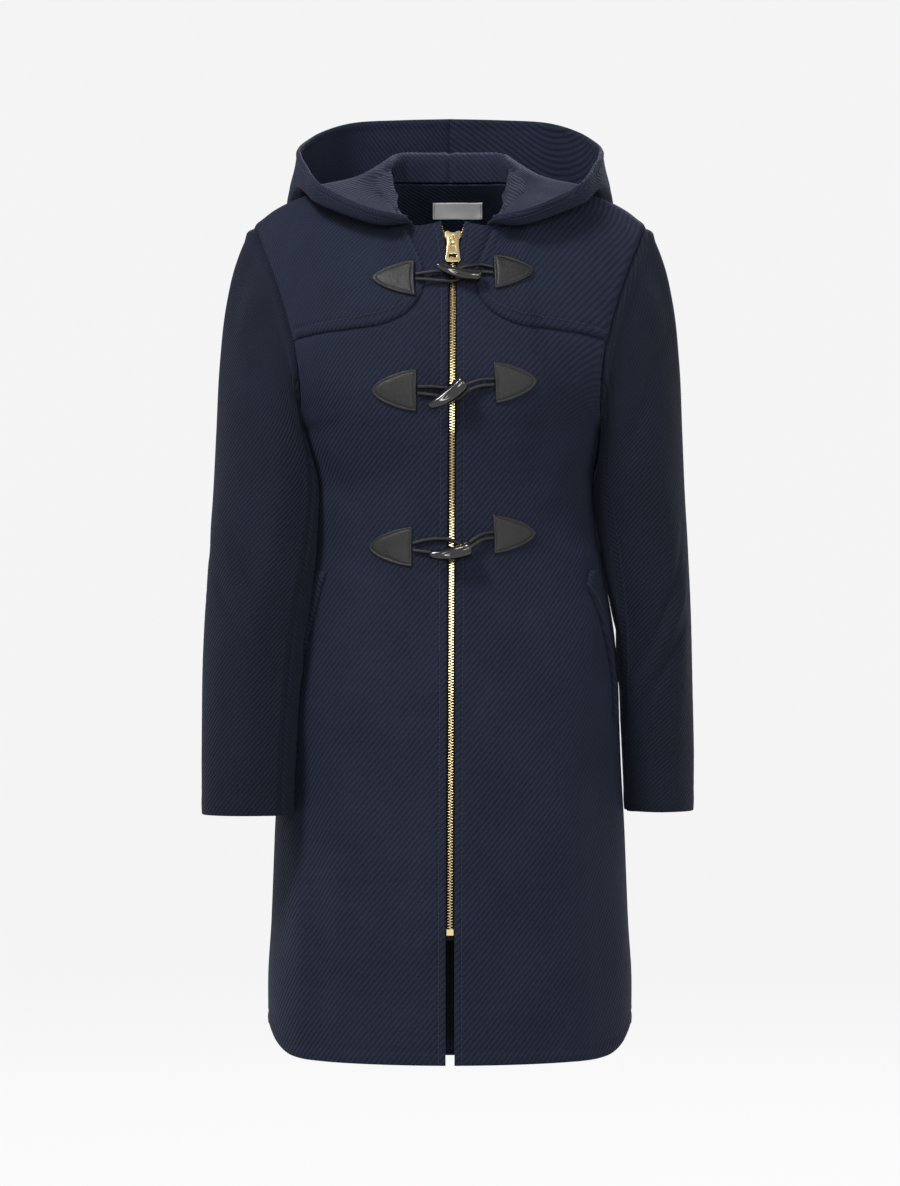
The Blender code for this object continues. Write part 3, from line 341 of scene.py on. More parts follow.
def shell(name, outer, inner, finish, slot, uv=None, bulge=(0.0, 0.0, 0.0, 0.0), node=None):
    """Make a closed sheet between two grids of points, with rounded edges.

    bulge is how far the edges reach out at the first row, last row, first and last column.
    """
    rows, columns = outer.shape[:2]
    ring = ([(0, j) for j in range(columns)] + [(i, columns - 1) for i in range(1, rows)]
            + [(rows - 1, j) for j in range(columns - 2, -1, -1)]
            + [(i, 0) for i in range(rows - 2, 0, -1)])
    middle = (outer + inner) / 2
    reach = np.zeros((len(ring), 3))
    for k, (i, j) in enumerate(ring):
        if i == 0:
            reach[k] += unit(middle[0, j] - middle[1, j]) * bulge[0]
        if i == rows - 1:
            reach[k] += unit(middle[-1, j] - middle[-2, j]) * bulge[1]
        if j == 0:
            reach[k] += unit(middle[i, 0] - middle[i, 1]) * bulge[2]
        if j == columns - 1:
            reach[k] += unit(middle[i, -1] - middle[i, -2]) * bulge[3]
    index = np.array([i * columns + j for i, j in ring])
    out_ring = outer.reshape(-1, 3)[index]
    in_ring = inner.reshape(-1, 3)[index]
    mid_ring = middle.reshape(-1, 3)[index]
    belts = [mid_ring + (out_ring - mid_ring) * math.cos(a) + reach * math.sin(a)
             for a in (math.pi / 4, math.pi / 2)]
    belts.append(mid_ring + (in_ring - mid_ring) * math.cos(math.pi / 4)
                 + reach * math.sin(math.pi / 4))
    count = rows * columns
    vertices = np.vstack([outer.reshape(-1, 3), inner.reshape(-1, 3)] + belts)
    i, j = np.meshgrid(np.arange(rows - 1), np.arange(columns - 1), indexing="ij")
    a = (i * columns + j).ravel()
    quads = np.stack((a, a + 1, a + columns + 1, a + columns), axis=1)
    size = len(ring)
    steps = [index] + [2 * count + b * size + np.arange(size) for b in range(3)] + [index + count]
    sides = [np.stack((p, q, np.roll(q, -1), np.roll(p, -1)), axis=1)
             for p, q in zip(steps, steps[1:])]
    faces = np.vstack([quads, quads[:, ::-1] + count] + sides)
    mesh = bpy.data.meshes.new(name)
    mesh.from_pydata(vertices, [], faces.tolist())
    if uv is not None:
        ring_uv = uv.reshape(-1, 2)[index]
        spread = np.vstack([uv.reshape(-1, 2)] * 2 + [ring_uv] * 3)
        layer = mesh.uv_layers.new(name="cut")
        corners = np.zeros(len(mesh.loops), np.int32)
        mesh.loops.foreach_get("vertex_index", corners)
        layer.data.foreach_set("uv", spread[corners].astype(np.float32).ravel())
    made = link(name, mesh)
    tidy = bmesh.new()
    tidy.from_mesh(mesh)
    bmesh.ops.recalc_face_normals(tidy, faces=tidy.faces)
    tidy.to_mesh(mesh)
    tidy.free()
    mesh.shade_smooth()
    mesh.materials.append(finish)
    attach(made, BODY)
    if node:
        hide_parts(*node)
    return made


# ---- finishes -----------------------------------------------------------------------------
class Nodes:
    """A short way to add and link shader nodes."""

    def __init__(self, tree):
        self.tree = tree

    def add(self, kind, inputs=(), **settings):
        node = self.tree.nodes.new("ShaderNode" + kind)
        for key, value in settings.items():
            setattr(node, key, value)
        for key, value in dict(inputs).items():
            if isinstance(value, bpy.types.NodeSocket):
                self.tree.links.new(value, node.inputs[key])
            else:
                node.inputs[key].default_value = value
        return node

    def math(self, operation, a, b=0.0):
        return self.add("Math", {0: a, 1: b}, operation=operation).outputs[0]

    def mix(self, factor, a, b):
        node = self.add("Mix", {0: factor, 6: a, 7: b}, data_type="RGBA")
        return node.outputs[2]

    def noise(self, vector, scale, detail=2.0, rough=0.5):
        node = self.add("TexNoise", {"Vector": vector, "Scale": scale, "Detail": detail,
                                     "Roughness": rough})
        return node.outputs["Fac"]


def link(name, data):
    """A new object in the scene."""
    made = bpy.data.objects.new(name, data)
    bpy.context.scene.collection.objects.link(made)
    return made


def new_group(name, inputs, outputs):
    """An empty node group with named inputs and outputs: Vector, Float with a default."""
    tree = bpy.data.node_groups.new(name, "ShaderNodeTree")
    for label, value in inputs:
        kind = "NodeSocketVector" if value is None else "NodeSocketFloat"
        socket = tree.interface.new_socket(label, in_out="INPUT", socket_type=kind)
        if value is not None:
            socket.default_value = value
    for label in outputs:
        tree.interface.new_socket(label, in_out="OUTPUT", socket_type="NodeSocketFloat")
    nodes = Nodes(tree)
    entry = tree.nodes.new("NodeGroupInput")
    leave = tree.nodes.new("NodeGroupOutput")
    return tree, nodes, entry.outputs, leave.inputs


def twill_group():
    """Diagonal twill on a piece's own cut: ribs, the threads that cross them, and nap."""
    tree, n, given, made = new_group(
        "diagonal twill", (("Vector", None), ("Pitch", TWILL_PITCH), ("Turn", 0.0)),
        ("Height", "Tone"))
    wobble = n.add("TexNoise", {"Vector": given["Vector"], "Scale": 160.0, "Detail": 1.0})
    shift = n.add("VectorMath", {0: wobble.outputs["Color"], 1: (0.5, 0.5, 0.5)},
                  operation="SUBTRACT")
    shift = n.add("VectorMath", {0: shift.outputs[0], "Scale": 0.0012}, operation="SCALE")
    moved = n.add("VectorMath", {0: given["Vector"], 1: shift.outputs[0]}, operation="ADD")
    turned = n.add("VectorRotate", {"Vector": moved.outputs[0], "Angle": given["Turn"]},
                   rotation_type="Z_AXIS")
    part = n.add("SeparateXYZ", {0: turned.outputs[0]})
    turns = n.math("DIVIDE", 2 * math.pi, given["Pitch"])
    rib = n.math("SINE", n.math("MULTIPLY", part.outputs["Y"], turns))
    rib = n.math("MULTIPLY_ADD", rib, 0.5)
    rib.node.inputs[2].default_value = 0.5
    lean = n.math("MULTIPLY_ADD", part.outputs["Y"], 0.9)
    lean.node.inputs[2].default_value = 0.0
    cross_at = n.math("ADD", part.outputs["X"], lean)
    cross = n.math("SINE", n.math("MULTIPLY", cross_at, n.math("MULTIPLY", turns, 2.6)))
    cross = n.math("MULTIPLY", n.math("ADD", cross, 1.0), 0.5)
    fuzz = n.noise(given["Vector"], 1500.0, 2.0, 0.7)
    height = n.math("ADD", n.math("MULTIPLY", n.math("POWER", rib, 0.7), 0.62),
                    n.math("MULTIPLY", n.math("MULTIPLY", cross, rib), 0.22))
    height = n.math("ADD", height, n.math("MULTIPLY", fuzz, 0.35))
    cloud = n.noise(given["Vector"], 14.0, 3.0, 0.6)
    tone = n.math("ADD", n.math("MULTIPLY", rib, 0.32), n.math("MULTIPLY", cross, 0.12))
    tone = n.math("ADD", tone, n.math("MULTIPLY", fuzz, 0.34))
    tone = n.math("ADD", tone, n.math("MULTIPLY", n.math("SUBTRACT", cloud, 0.5), 0.45))
    tree.links.new(height, made["Height"])
    tree.links.new(tone, made["Tone"])
    return tree


def grain_group():
    """Fine pebbled leather grain with shallow creases."""
    tree, n, given, made = new_group("leather grain", (("Vector", None), ("Scale", 900.0)),
                                     ("Height", "Tone"))
    cells = n.add("TexVoronoi", {"Vector": given["Vector"], "Scale": given["Scale"]},
                  feature="DISTANCE_TO_EDGE")
    pebble = n.math("MINIMUM", n.math("MULTIPLY", cells.outputs["Distance"], 4.0), 1.0)
    soft = n.noise(given["Vector"], 60.0, 4.0, 0.6)
    tree.links.new(n.math("ADD", n.math("MULTIPLY", pebble, 0.6), n.math("MULTIPLY", soft, 0.4)),
                   made["Height"])
    tree.links.new(soft, made["Tone"])
    return tree


def new_material(name, roughness, metallic=0.0, **sockets):
    """A Principled material, and its nodes, shader and Object coordinates."""
    made = bpy.data.materials.new(name)
    made.use_nodes = True
    tree = made.node_tree
    shader = tree.nodes["Principled BSDF"]
    shader.inputs["Roughness"].default_value = roughness
    shader.inputs["Metallic"].default_value = metallic
    for key, value in sockets.items():
        shader.inputs[key.replace("_", " ")].default_value = value
    n = Nodes(tree)
    place = n.add("TexCoord").outputs["Object"]
    return made, n, shader, place


def dress(n, shader, tone, dark, light, height=None, depth=0.0, strength=1.0):
    """Feed a shader its colour from a tone, and its relief from a height in metres."""
    n.tree.links.new(n.mix(tone, (*dark, 1), (*light, 1)), shader.inputs["Base Color"])
    if height is not None:
        relief = n.add("Bump", {"Height": height, "Distance": depth, "Strength": strength})
        n.tree.links.new(relief.outputs[0], shader.inputs["Normal"])


def use_group(n, tree, **inputs):
    node = n.tree.nodes.new("ShaderNodeGroup")
    node.node_tree = tree
    for key, value in inputs.items():
        if isinstance(value, bpy.types.NodeSocket):
            n.tree.links.new(value, node.inputs[key])
        else:
            node.inputs[key].default_value = value
    return node.outputs


def coating(name, tree, pitch, angle, lift=1.0):
    """Navy twill coating; angle is how steeply its ribs climb to the right. lift scales both ends
    of its colour; below one it paints shade into the cloth.
    """
    made, n, shader, _ = new_material(name, 0.88, Sheen_Weight=0.06, Sheen_Roughness=0.45,
                                      Sheen_Tint=(0.42, 0.52, 0.80, 1), Specular_IOR_Level=0.16)
    cut = n.add("UVMap", uv_map="cut").outputs[0]
    weave = use_group(n, tree, Vector=cut, Pitch=pitch, Turn=-math.radians(angle))
    # lift below one darkens both colours: painted shade on the same cloth, not a darker cloth
    dark = tuple(c * lift for c in (0.0022, 0.0032, 0.0080))
    light = tuple(c * lift for c in (0.0180, 0.0245, 0.0540))
    dress(n, shader, weave["Tone"], dark, light, weave["Height"], 0.0011, 0.75)
    return made


def leather(name, tree, scale=900.0):
    made, n, shader, place = new_material(name, 0.42, Specular_IOR_Level=0.32)
    grain = use_group(n, tree, Vector=place, Scale=scale)
    dress(n, shader, grain["Tone"], (0.0030, 0.0030, 0.0034), (0.0100, 0.0100, 0.0112),
          grain["Height"], 0.0003, 0.5)
    rough = n.math("MULTIPLY_ADD", grain["Tone"], 0.3)
    rough.node.inputs[2].default_value = 0.28
    n.tree.links.new(rough, shader.inputs["Roughness"])
    return made


def plain(name, dark, light, roughness, scale, metallic=0.0, depth=0.00008, **sockets):
    """A finish with a fine even grain and a little variation of colour."""
    made, n, shader, place = new_material(name, roughness, metallic, **sockets)
    tone = n.noise(place, scale, 4.0, 0.6)
    dress(n, shader, tone, dark, light, n.noise(place, scale * 6, 2.0), depth, 0.4)
    return made


def ribbed(name, dark, light, roughness, pitch, depth, **sockets):
    """A plain woven finish on a piece's own cut, such as tape, lining or label."""
    made, n, shader, _ = new_material(name, roughness, **sockets)
    cut = n.add("UVMap", uv_map="cut").outputs[0]
    part = n.add("SeparateXYZ", {0: cut})
    rows = n.math("SINE", n.math("MULTIPLY", part.outputs["X"], 2 * math.pi / pitch))
    picks = n.math("SINE", n.math("MULTIPLY", part.outputs["Y"], 2 * math.pi / pitch))
    weave = n.math("MULTIPLY", n.math("ADD", n.math("MULTIPLY", rows, picks), 1.0), 0.5)
    tone = n.math("ADD", n.math("MULTIPLY", weave, 0.6),
                  n.math("MULTIPLY", n.noise(cut, 90.0), 0.4))
    dress(n, shader, tone, dark, light, weave, depth, 0.5)
    return made


def make_finishes():
    weave, grain = twill_group(), grain_group()
    return {
        "body": coating("navy twill", weave, TWILL_PITCH, 50),
        # the sleeves use the body's cloth painted 0.62 as bright: painted shade, for their darker,
        # shaded look
        "sleeve": coating("navy twill sleeve painted shade", weave, SLEEVE_PITCH, 48, 0.62),
        "hood": coating("navy twill hood", weave, TWILL_PITCH, 45),
        "thread": plain("navy thread", (0.0050, 0.0075, 0.0170), (0.0150, 0.0200, 0.0400), 0.8,
                        700.0),
        "leather": leather("black leather", grain),
        "thong": leather("black leather cord", grain, 1400.0),
        "stitch": plain("black thread", (0.008, 0.008, 0.009), (0.030, 0.030, 0.032), 0.5, 900.0),
        "gold": plain("pale gold", (0.74, 0.56, 0.27), (0.86, 0.70, 0.40), 0.22, 120.0, 1.0),
        "horn": plain("black horn", (0.0015, 0.0015, 0.0015), (0.0090, 0.0085, 0.0080), 0.12, 45.0,
                      depth=0.00005, Coat_Weight=0.3, Coat_Roughness=0.05),
        "tape": ribbed("black tape", (0.0012, 0.0012, 0.0014), (0.0060, 0.0060, 0.0070), 0.85,
                       0.0011, 0.0003, Specular_IOR_Level=0.15),
        "lining": ribbed("black lining", (0.0008, 0.0008, 0.0010), (0.0035, 0.0035, 0.0042), 0.7,
                         0.0009, 0.0001, Specular_IOR_Level=0.1),
        "label": ribbed("white label", (0.84, 0.84, 0.83), (0.95, 0.95, 0.94), 0.55, 0.0008,
                        0.0001),
    }


# ---- studio -------------------------------------------------------------------------------
CAMERA_PLACE = (0.0, -4.615, -0.398)
CAMERA_LENS = 136.6
FLOOR_Z = -1.33
STUDIO_RADIUS = 9.0
PAPER_TONE, PAPER_GLOW, SKY_STRENGTH = 0.07, 0.87, 0.36
# lights: name, place, size and power
LIGHTS = (("key", (-2.2, -2.4, 3.4), 1.2, 240.0), ("fill", (3.4, -3.0, 1.4), 2.2, 52.0),
          ("back", (0.8, 3.6, 2.6), 1.8, 150.0), ("front", (0.2, -4.8, 0.7), 1.2, 60.0))


def make_studio():
    """Camera, lights and a round white cove that runs up from the floor."""
    lens = bpy.data.cameras.new("camera")
    lens.lens, lens.sensor_width = CAMERA_LENS, 36.0
    camera = link("camera", lens)
    camera.location = CAMERA_PLACE
    camera.rotation_euler = (math.pi / 2, 0, 0)
    bpy.context.scene.camera = camera

    profile = [(0.0, 0.0), (STUDIO_RADIUS * 0.5, 0.0), (STUDIO_RADIUS * 0.7, 0.0)]
    curve = STUDIO_RADIUS * 0.3
    profile += [(STUDIO_RADIUS * 0.7 + curve * math.sin(a), curve * (1 - math.cos(a)))
                for a in np.linspace(0.1, math.pi / 2, 14)]
    profile.append((STUDIO_RADIUS, 6.0))
    sides = 72
    vertices = [(r * math.cos(2 * math.pi * k / sides), r * math.sin(2 * math.pi * k / sides),
                 FLOOR_Z + z) for r, z in profile[1:] for k in range(sides)]
    faces = [tuple(range(sides))]
    for i in range(len(profile) - 2):
        faces += [(i * sides + k, (i + 1) * sides + k, (i + 1) * sides + (k + 1) % sides,
                   i * sides + (k + 1) % sides) for k in range(sides)]
    mesh = bpy.data.meshes.new("floor")
    mesh.from_pydata(vertices, [], faces)
    mesh.shade_smooth()
    floor = link("floor", mesh)
    paper = bpy.data.materials.new("pale floor")
    paper.use_nodes = True
    shader = paper.node_tree.nodes["Principled BSDF"]
    shader.inputs["Base Color"].default_value = (PAPER_TONE, PAPER_TONE, PAPER_TONE, 1)
    shader.inputs["Roughness"].default_value = 0.9
    shader.inputs["Specular IOR Level"].default_value = 0.0
    shader.inputs["Emission Color"].default_value = (1.0, 1.0, 1.0, 1)
    shader.inputs["Emission Strength"].default_value = PAPER_GLOW
    mesh.materials.append(paper)
    floor.visible_diffuse = False

    world = bpy.data.worlds.new("studio")
    world.use_nodes = True
    sky = world.node_tree.nodes["Background"]
    sky.inputs["Color"].default_value = (1.0, 1.0, 1.0, 1)
    sky.inputs["Strength"].default_value = SKY_STRENGTH
    bpy.context.scene.world = world
    for name, place, size, power in LIGHTS:
        lamp = bpy.data.lights.new(name, "AREA")
        lamp.size, lamp.energy = size, power
        made = link(name, lamp)
        made.location = place
        towards = Vector((0.0, 0.0, -0.4)) - Vector(place)
        made.rotation_euler = towards.to_track_quat("-Z", "Y").to_euler()
        made.visible_camera = False
    bpy.context.scene.view_settings.view_transform = "Standard"


# ---- garment ------------------------------------------------------------------------------
UNDERARM_Z = -0.236
UNDER_ROWS = 3            # rows of each armhole that the under sleeve takes
CHEST_ROWS = 10           # rows of a front above the underarm
HOOD_START = 2            # column of the front's neckline at which the hood starts

# soft folds: x0, z0, x1, z1, bow to the side, width and height; a trough's height is below zero
FRONT_FOLDS = {
    "right": (
        (0.150, -0.262, 0.090, -0.345, 0.12, 0.014, -0.0026),
        (0.146, -0.285, 0.078, -0.300, -0.10, 0.016, 0.0022),
        (0.155, -0.205, 0.118, -0.300, 0.10, 0.018, 0.0026),
        (0.144, -0.330, 0.060, -0.372, 0.08, 0.017, -0.0016),
        (0.150, -0.372, 0.085, -0.350, 0.10, 0.012, 0.0014),
        (0.140, -0.255, 0.142, -0.470, 0.05, 0.020, 0.0030),
        (0.118, -0.420, 0.100, -0.740, 0.04, 0.034, 0.0032),
        (0.066, -0.500, 0.052, -0.850, -0.03, 0.030, -0.0026),
        (0.150, -0.500, 0.158, -0.860, 0.03, 0.022, -0.0038),
        (0.132, -0.640, 0.128, -0.870, -0.04, 0.018, 0.0030),
        (0.030, -0.300, 0.034, -0.520, 0.05, 0.022, -0.0012),
        (0.120, -0.120, 0.070, -0.200, -0.15, 0.024, 0.0022),
        (0.080, -0.160, 0.060, -0.290, 0.06, 0.030, 0.0026),
    ),
    "left": (
        (0.148, -0.258, 0.085, -0.330, 0.14, 0.013, -0.0028),
        (0.150, -0.298, 0.070, -0.318, -0.08, 0.015, 0.0020),
        (0.150, -0.210, 0.112, -0.288, 0.12, 0.018, 0.0030),
        (0.146, -0.345, 0.052, -0.392, 0.10, 0.016, -0.0018),
        (0.142, -0.262, 0.138, -0.450, -0.04, 0.020, 0.0026),
        (0.112, -0.440, 0.104, -0.800, 0.04, 0.032, 0.0030),
        (0.060, -0.540, 0.064, -0.860, 0.03, 0.030, -0.0024),
        (0.150, -0.560, 0.133, -0.870, 0.05, 0.016, -0.0042),
        (0.158, -0.600, 0.148, -0.860, 0.04, 0.012, 0.0036),
        (0.126, -0.470, 0.140, -0.560, -0.10, 0.016, 0.0032),
        (0.084, -0.150, 0.064, -0.280, -0.05, 0.030, 0.0026),
        (0.034, -0.320, 0.030, -0.500, 0.04, 0.020, -0.0012),
    ),
}
BACK_FOLDS = (
    (-0.150, -0.250, -0.070, -0.330, 0.12, 0.016, -0.0028),
    (0.148, -0.262, 0.080, -0.350, -0.10, 0.015, -0.0026),
    (-0.160, -0.180, -0.118, -0.300, -0.10, 0.020, 0.0034),
    (0.160, -0.185, 0.114, -0.310, 0.12, 0.019, 0.0032),
    (-0.120, -0.340, 0.050, -0.372, 0.06, 0.017, -0.0018),
    (0.128, -0.356, -0.030, -0.338, 0.05, 0.016, 0.0016),
    (-0.070, -0.420, -0.088, -0.850, 0.03, 0.032, 0.0042),
    (0.004, -0.460, -0.012, -0.870, -0.03, 0.034, -0.0036),
    (0.076, -0.430, 0.092, -0.850, 0.04, 0.030, 0.0040),
    (0.132, -0.500, 0.148, -0.860, 0.03, 0.022, -0.0034),
    (-0.134, -0.520, -0.146, -0.860, -0.04, 0.022, -0.0036),
    (-0.060, -0.120, -0.045, -0.260, 0.08, 0.030, 0.0024),
    (0.064, -0.115, 0.050, -0.270, -0.08, 0.030, 0.0026),
)
# on a sleeve the first number runs round it from the front seam, and the second down from its top
SLEEVE_FOLDS = {
    "right": (
        (0.020, 0.120, 0.120, 0.090, 0.10, 0.014, -0.0022),
        (0.010, 0.330, 0.085, 0.285, -0.12, 0.010, -0.0030),
        (0.014, 0.352, 0.098, 0.325, -0.10, 0.011, 0.0024),
        (0.012, 0.378, 0.076, 0.366, -0.08, 0.010, -0.0024),
        (0.190, 0.310, 0.130, 0.350, 0.10, 0.012, -0.0024),
        (0.205, 0.340, 0.140, 0.385, 0.10, 0.012, 0.0020),
        (0.050, 0.130, 0.062, 0.560, 0.03, 0.016, 0.0030),
        (0.095, 0.180, 0.104, 0.540, -0.02, 0.022, -0.0016),
        (0.022, 0.440, 0.030, 0.585, 0.04, 0.012, -0.0022),
        (0.140, 0.420, 0.150, 0.590, 0.03, 0.018, 0.0022),
        (0.118, 0.018, 0.118, 0.090, 0.00, 0.018, 0.0026),
    ),
    "left": (
        (0.015, 0.110, 0.110, 0.080, 0.12, 0.014, -0.0024),
        (0.012, 0.305, 0.092, 0.262, -0.14, 0.011, -0.0034),
        (0.014, 0.330, 0.080, 0.300, -0.10, 0.010, 0.0026),
        (0.016, 0.352, 0.104, 0.338, -0.08, 0.012, -0.0026),
        (0.014, 0.392, 0.070, 0.384, -0.06, 0.010, 0.0018),
        (0.200, 0.300, 0.126, 0.345, 0.12, 0.012, -0.0026),
        (0.030, 0.100, 0.038, 0.480, 0.04, 0.014, 0.0034),
        (0.090, 0.200, 0.078, 0.560, 0.03, 0.022, -0.0018),
        (0.132, 0.380, 0.146, 0.590, -0.03, 0.018, 0.0024),
        (0.024, 0.470, 0.022, 0.590, 0.04, 0.012, -0.0024),
        (0.112, 0.016, 0.116, 0.085, 0.00, 0.018, 0.0028),
    ),
}
UNDER_FOLDS = (
    (0.010, 0.200, 0.070, 0.235, 0.10, 0.012, -0.0022),
    (0.008, 0.238, 0.060, 0.262, 0.10, 0.011, 0.0018),
    (0.030, 0.300, 0.034, 0.430, 0.04, 0.014, -0.0016),
)
HOOD_FOLDS = (
    (0.060, 0.050, 0.180, 0.075, 0.10, 0.020, 0.0028),
    (0.150, 0.090, 0.260, 0.150, 0.08, 0.024, -0.0034),
    (0.220, 0.120, 0.300, 0.190, -0.10, 0.020, 0.0030),
    (0.120, 0.110, 0.170, 0.160, 0.12, 0.016, -0.0024),
)


EASED_ROWS = (11, 8, 3, 1)    # rows below the neck at which the easing starts, is full, and ends
EASE_ROUNDS = 9


def soften(points):
    """Ease a front's depth across the chest, so that it runs over the shoulder smoothly."""
    eased = points.copy()
    rows = points.shape[0]
    share = np.interp(np.arange(rows), [rows - below for below in EASED_ROWS], (0, 1, 1, 0))
    for _ in range(EASE_ROUNDS):
        y = eased[..., 1]
        middle = (y[:, :-2] + y[:, 2:]) / 2 - y[:, 1:-1]
        eased[:, 1:-1, 1] = y[:, 1:-1] + 0.5 * middle * share[:, None]
    return eased


def side_sign(side):
    """The way a side lies along x."""
    return 1 if side == "right" else -1


def read_body():
    """Coarse grids of the fronts and the back, hem first."""
    grids = {}
    for side in ("right", "left"):
        low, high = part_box("front_" + side)
        middle, outer = (low.x, high.x) if side == "right" else (high.x, low.x)
        points, normals = read_wall("front_" + side, CLOTH, (0, -5, -0.5),
                                    (middle, low.y, low.z), (outer, 0, low.z))
        grids[side] = soften(points), normals
    low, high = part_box("back")
    grids["back"] = read_wall("back", CLOTH, (0, 5, -0.5), (low.x, 0, low.z), (high.x, 0, low.z))
    return grids


def cut_of(cloth, side, level=None):
    """The piece's own flat coordinates: across, and up from a level."""
    up = cloth.column_run
    if level is not None:
        row = np.abs(cloth.points[:, 0, 2] - level).argmin()
        up = up - up[row]
    return np.stack((side * cloth.row_run, up), axis=-1)


def two_faces(cloth, thickness, thick_sides=(), stitch=TOPSTITCH):
    """Outer and inner grids of a piece; turned edges are thicker on the inside too."""
    extra = np.zeros(cloth.points.shape[:2])
    for side in thick_sides:
        extra = np.maximum(extra, smooth_step((stitch * 2.2 - cloth.from_side(side)) / 0.004))
    outer = cloth.points + cloth.normals * thickness / 2
    inner = cloth.points - cloth.normals * (thickness / 2 + extra * 0.0006)[..., None]
    return outer, inner


def make_fronts(grids, looks):
    """Both fronts, with their folds, the pocket's swell and their turned edges."""
    fronts = {}
    for side in ("right", "left"):
        cloth = Cloth(*grids[side], fine=("edge", "seam", "edge", "seam"), corner=0.0)
        cloth.flat = cut_of(cloth, side_sign(side), UNDERARM_Z)
        cloth.crease(FRONT_FOLDS[side], cloth.points[..., (0, 2)] * (side_sign(side), 1))
        cloth.renew()
        swell_pocket(cloth, side)
        sink_under_edges(cloth, side)
        cloth.sew("last_column")
        cloth.turn("first_column")
        cloth.turn("first_row", *HEM)
        cloth.renew()
        faces = two_faces(cloth, CLOTH, ("first_column", "first_row"))
        sheet_piece("front_panel_" + side, cloth, faces, looks["body"], "navy_twill",
                    (TURNED_EDGE, SEWN_EDGE, TURNED_EDGE, SEWN_EDGE), "front_" + side)
        fronts[side] = cloth
    return fronts


def sink_under_edges(cloth, side):
    """Press the front in along the yoke's and the pocket's edges, so that both stand clear."""
    flat = cloth.points[..., (0, 2)].reshape(-1, 2)
    for line, count, depth, width in ((YOKE_EDGE, 160, 0.0018, 0.0042),
                                      (WELT_LINES[side], 90, 0.0014, 0.0034)):
        edge = smooth_line(line, count) * (side_sign(side), 1)
        gaps = np.array([np.linalg.norm(edge - point, axis=1).min() for point in flat])
        cloth.push(-depth * bump(gaps, width).reshape(cloth.points.shape[:2]))


POCKET_SWELL, POCKET_X, POCKET_Z = 0.0024, 0.120, {"right": -0.500, "left": -0.515}
POCKET_REACH = (0.040, 0.075)


def swell_pocket(cloth, side):
    """Let the pocket bag push the front out a little behind its opening."""
    x, z = np.abs(cloth.points[..., 0]), cloth.points[..., 2]
    cloth.push(POCKET_SWELL * bump(x - POCKET_X, POCKET_REACH[0])
               * bump(z - POCKET_Z[side], POCKET_REACH[1]))


def sheet_piece(name, cloth, faces, finish, slot, bulge, node, flat=None):
    """Make a cloth piece of its two faces, and state its cut."""
    piece = shell(name, *faces, finish, slot, cloth.flat if flat is None else flat, bulge, [node])


def make_back(grids, looks):
    """The back, cut in one."""
    cloth = Cloth(*grids["back"], fine=("edge", "seam", "seam", "seam"), corner=0.0)
    cloth.flat = cut_of(cloth, -1, UNDERARM_Z)
    cloth.crease(BACK_FOLDS, cloth.points[..., (0, 2)])
    cloth.renew()
    cloth.sew("first_column", "last_column")
    cloth.turn("first_row", *HEM)
    cloth.renew()
    sheet_piece("back_panel", cloth, two_faces(cloth, CLOTH, ("first_row",)), looks["body"],
                "navy_twill", (TURNED_EDGE, SEWN_EDGE, SEWN_EDGE, SEWN_EDGE), "back")
    return cloth


def make_sleeves(grids, looks):
    """The two pieces of each sleeve, read from the front armhole round to the back."""
    row = grids["right"][0].shape[0] - CHEST_ROWS + UNDER_ROWS
    for side in ("right", "left"):
        before = grids[side][0][row, -1]
        behind = grids["back"][0][row, -1 if side == "right" else 0]
        way = side_sign(side)
        for part, ends, outside in (("top", (before, behind), (way * 5, 0, -0.4)),
                                    ("under", (behind, before), (0, 0, -0.4))):
            points, normals = read_wall("sleeve_%s_%s" % (part, side), CLOTH, outside, *ends)
            cloth = Cloth(points, normals, fine=("seam", "edge", "seam", "seam"), corner=-0.2)
            ridge = cloth.row_run[:, cloth.points.shape[1] // 2][:, None]
            turned = way if part == "top" else -way
            cloth.flat = np.stack((turned * (cloth.row_run - ridge), cloth.points[..., 2]), axis=-1)
            place = np.stack((cloth.row_run, cloth.column_run), axis=-1)
            cloth.crease(SLEEVE_FOLDS[side] if part == "top" else UNDER_FOLDS, place)
            cloth.renew()
            d = cloth.from_side("first_row")
            if part == "top":
                cloth.push(0.0016 * bump(d - 0.0085, 0.0050))
            cloth.sew("first_row", "first_column", "last_column")
            cloth.turn("last_row", *CUFF)
            cloth.renew()
            # the sleeves take the darker copy of the cloth, with its painted shade
            sheet_piece("sleeve_%s_panel_%s" % (part, side), cloth,
                        two_faces(cloth, CLOTH, ("last_row",)), looks["sleeve"], "navy_twill",
                        (0.0004, TURNED_EDGE, SEWN_EDGE, SEWN_EDGE),
                        "sleeve_%s_%s" % (part, side))


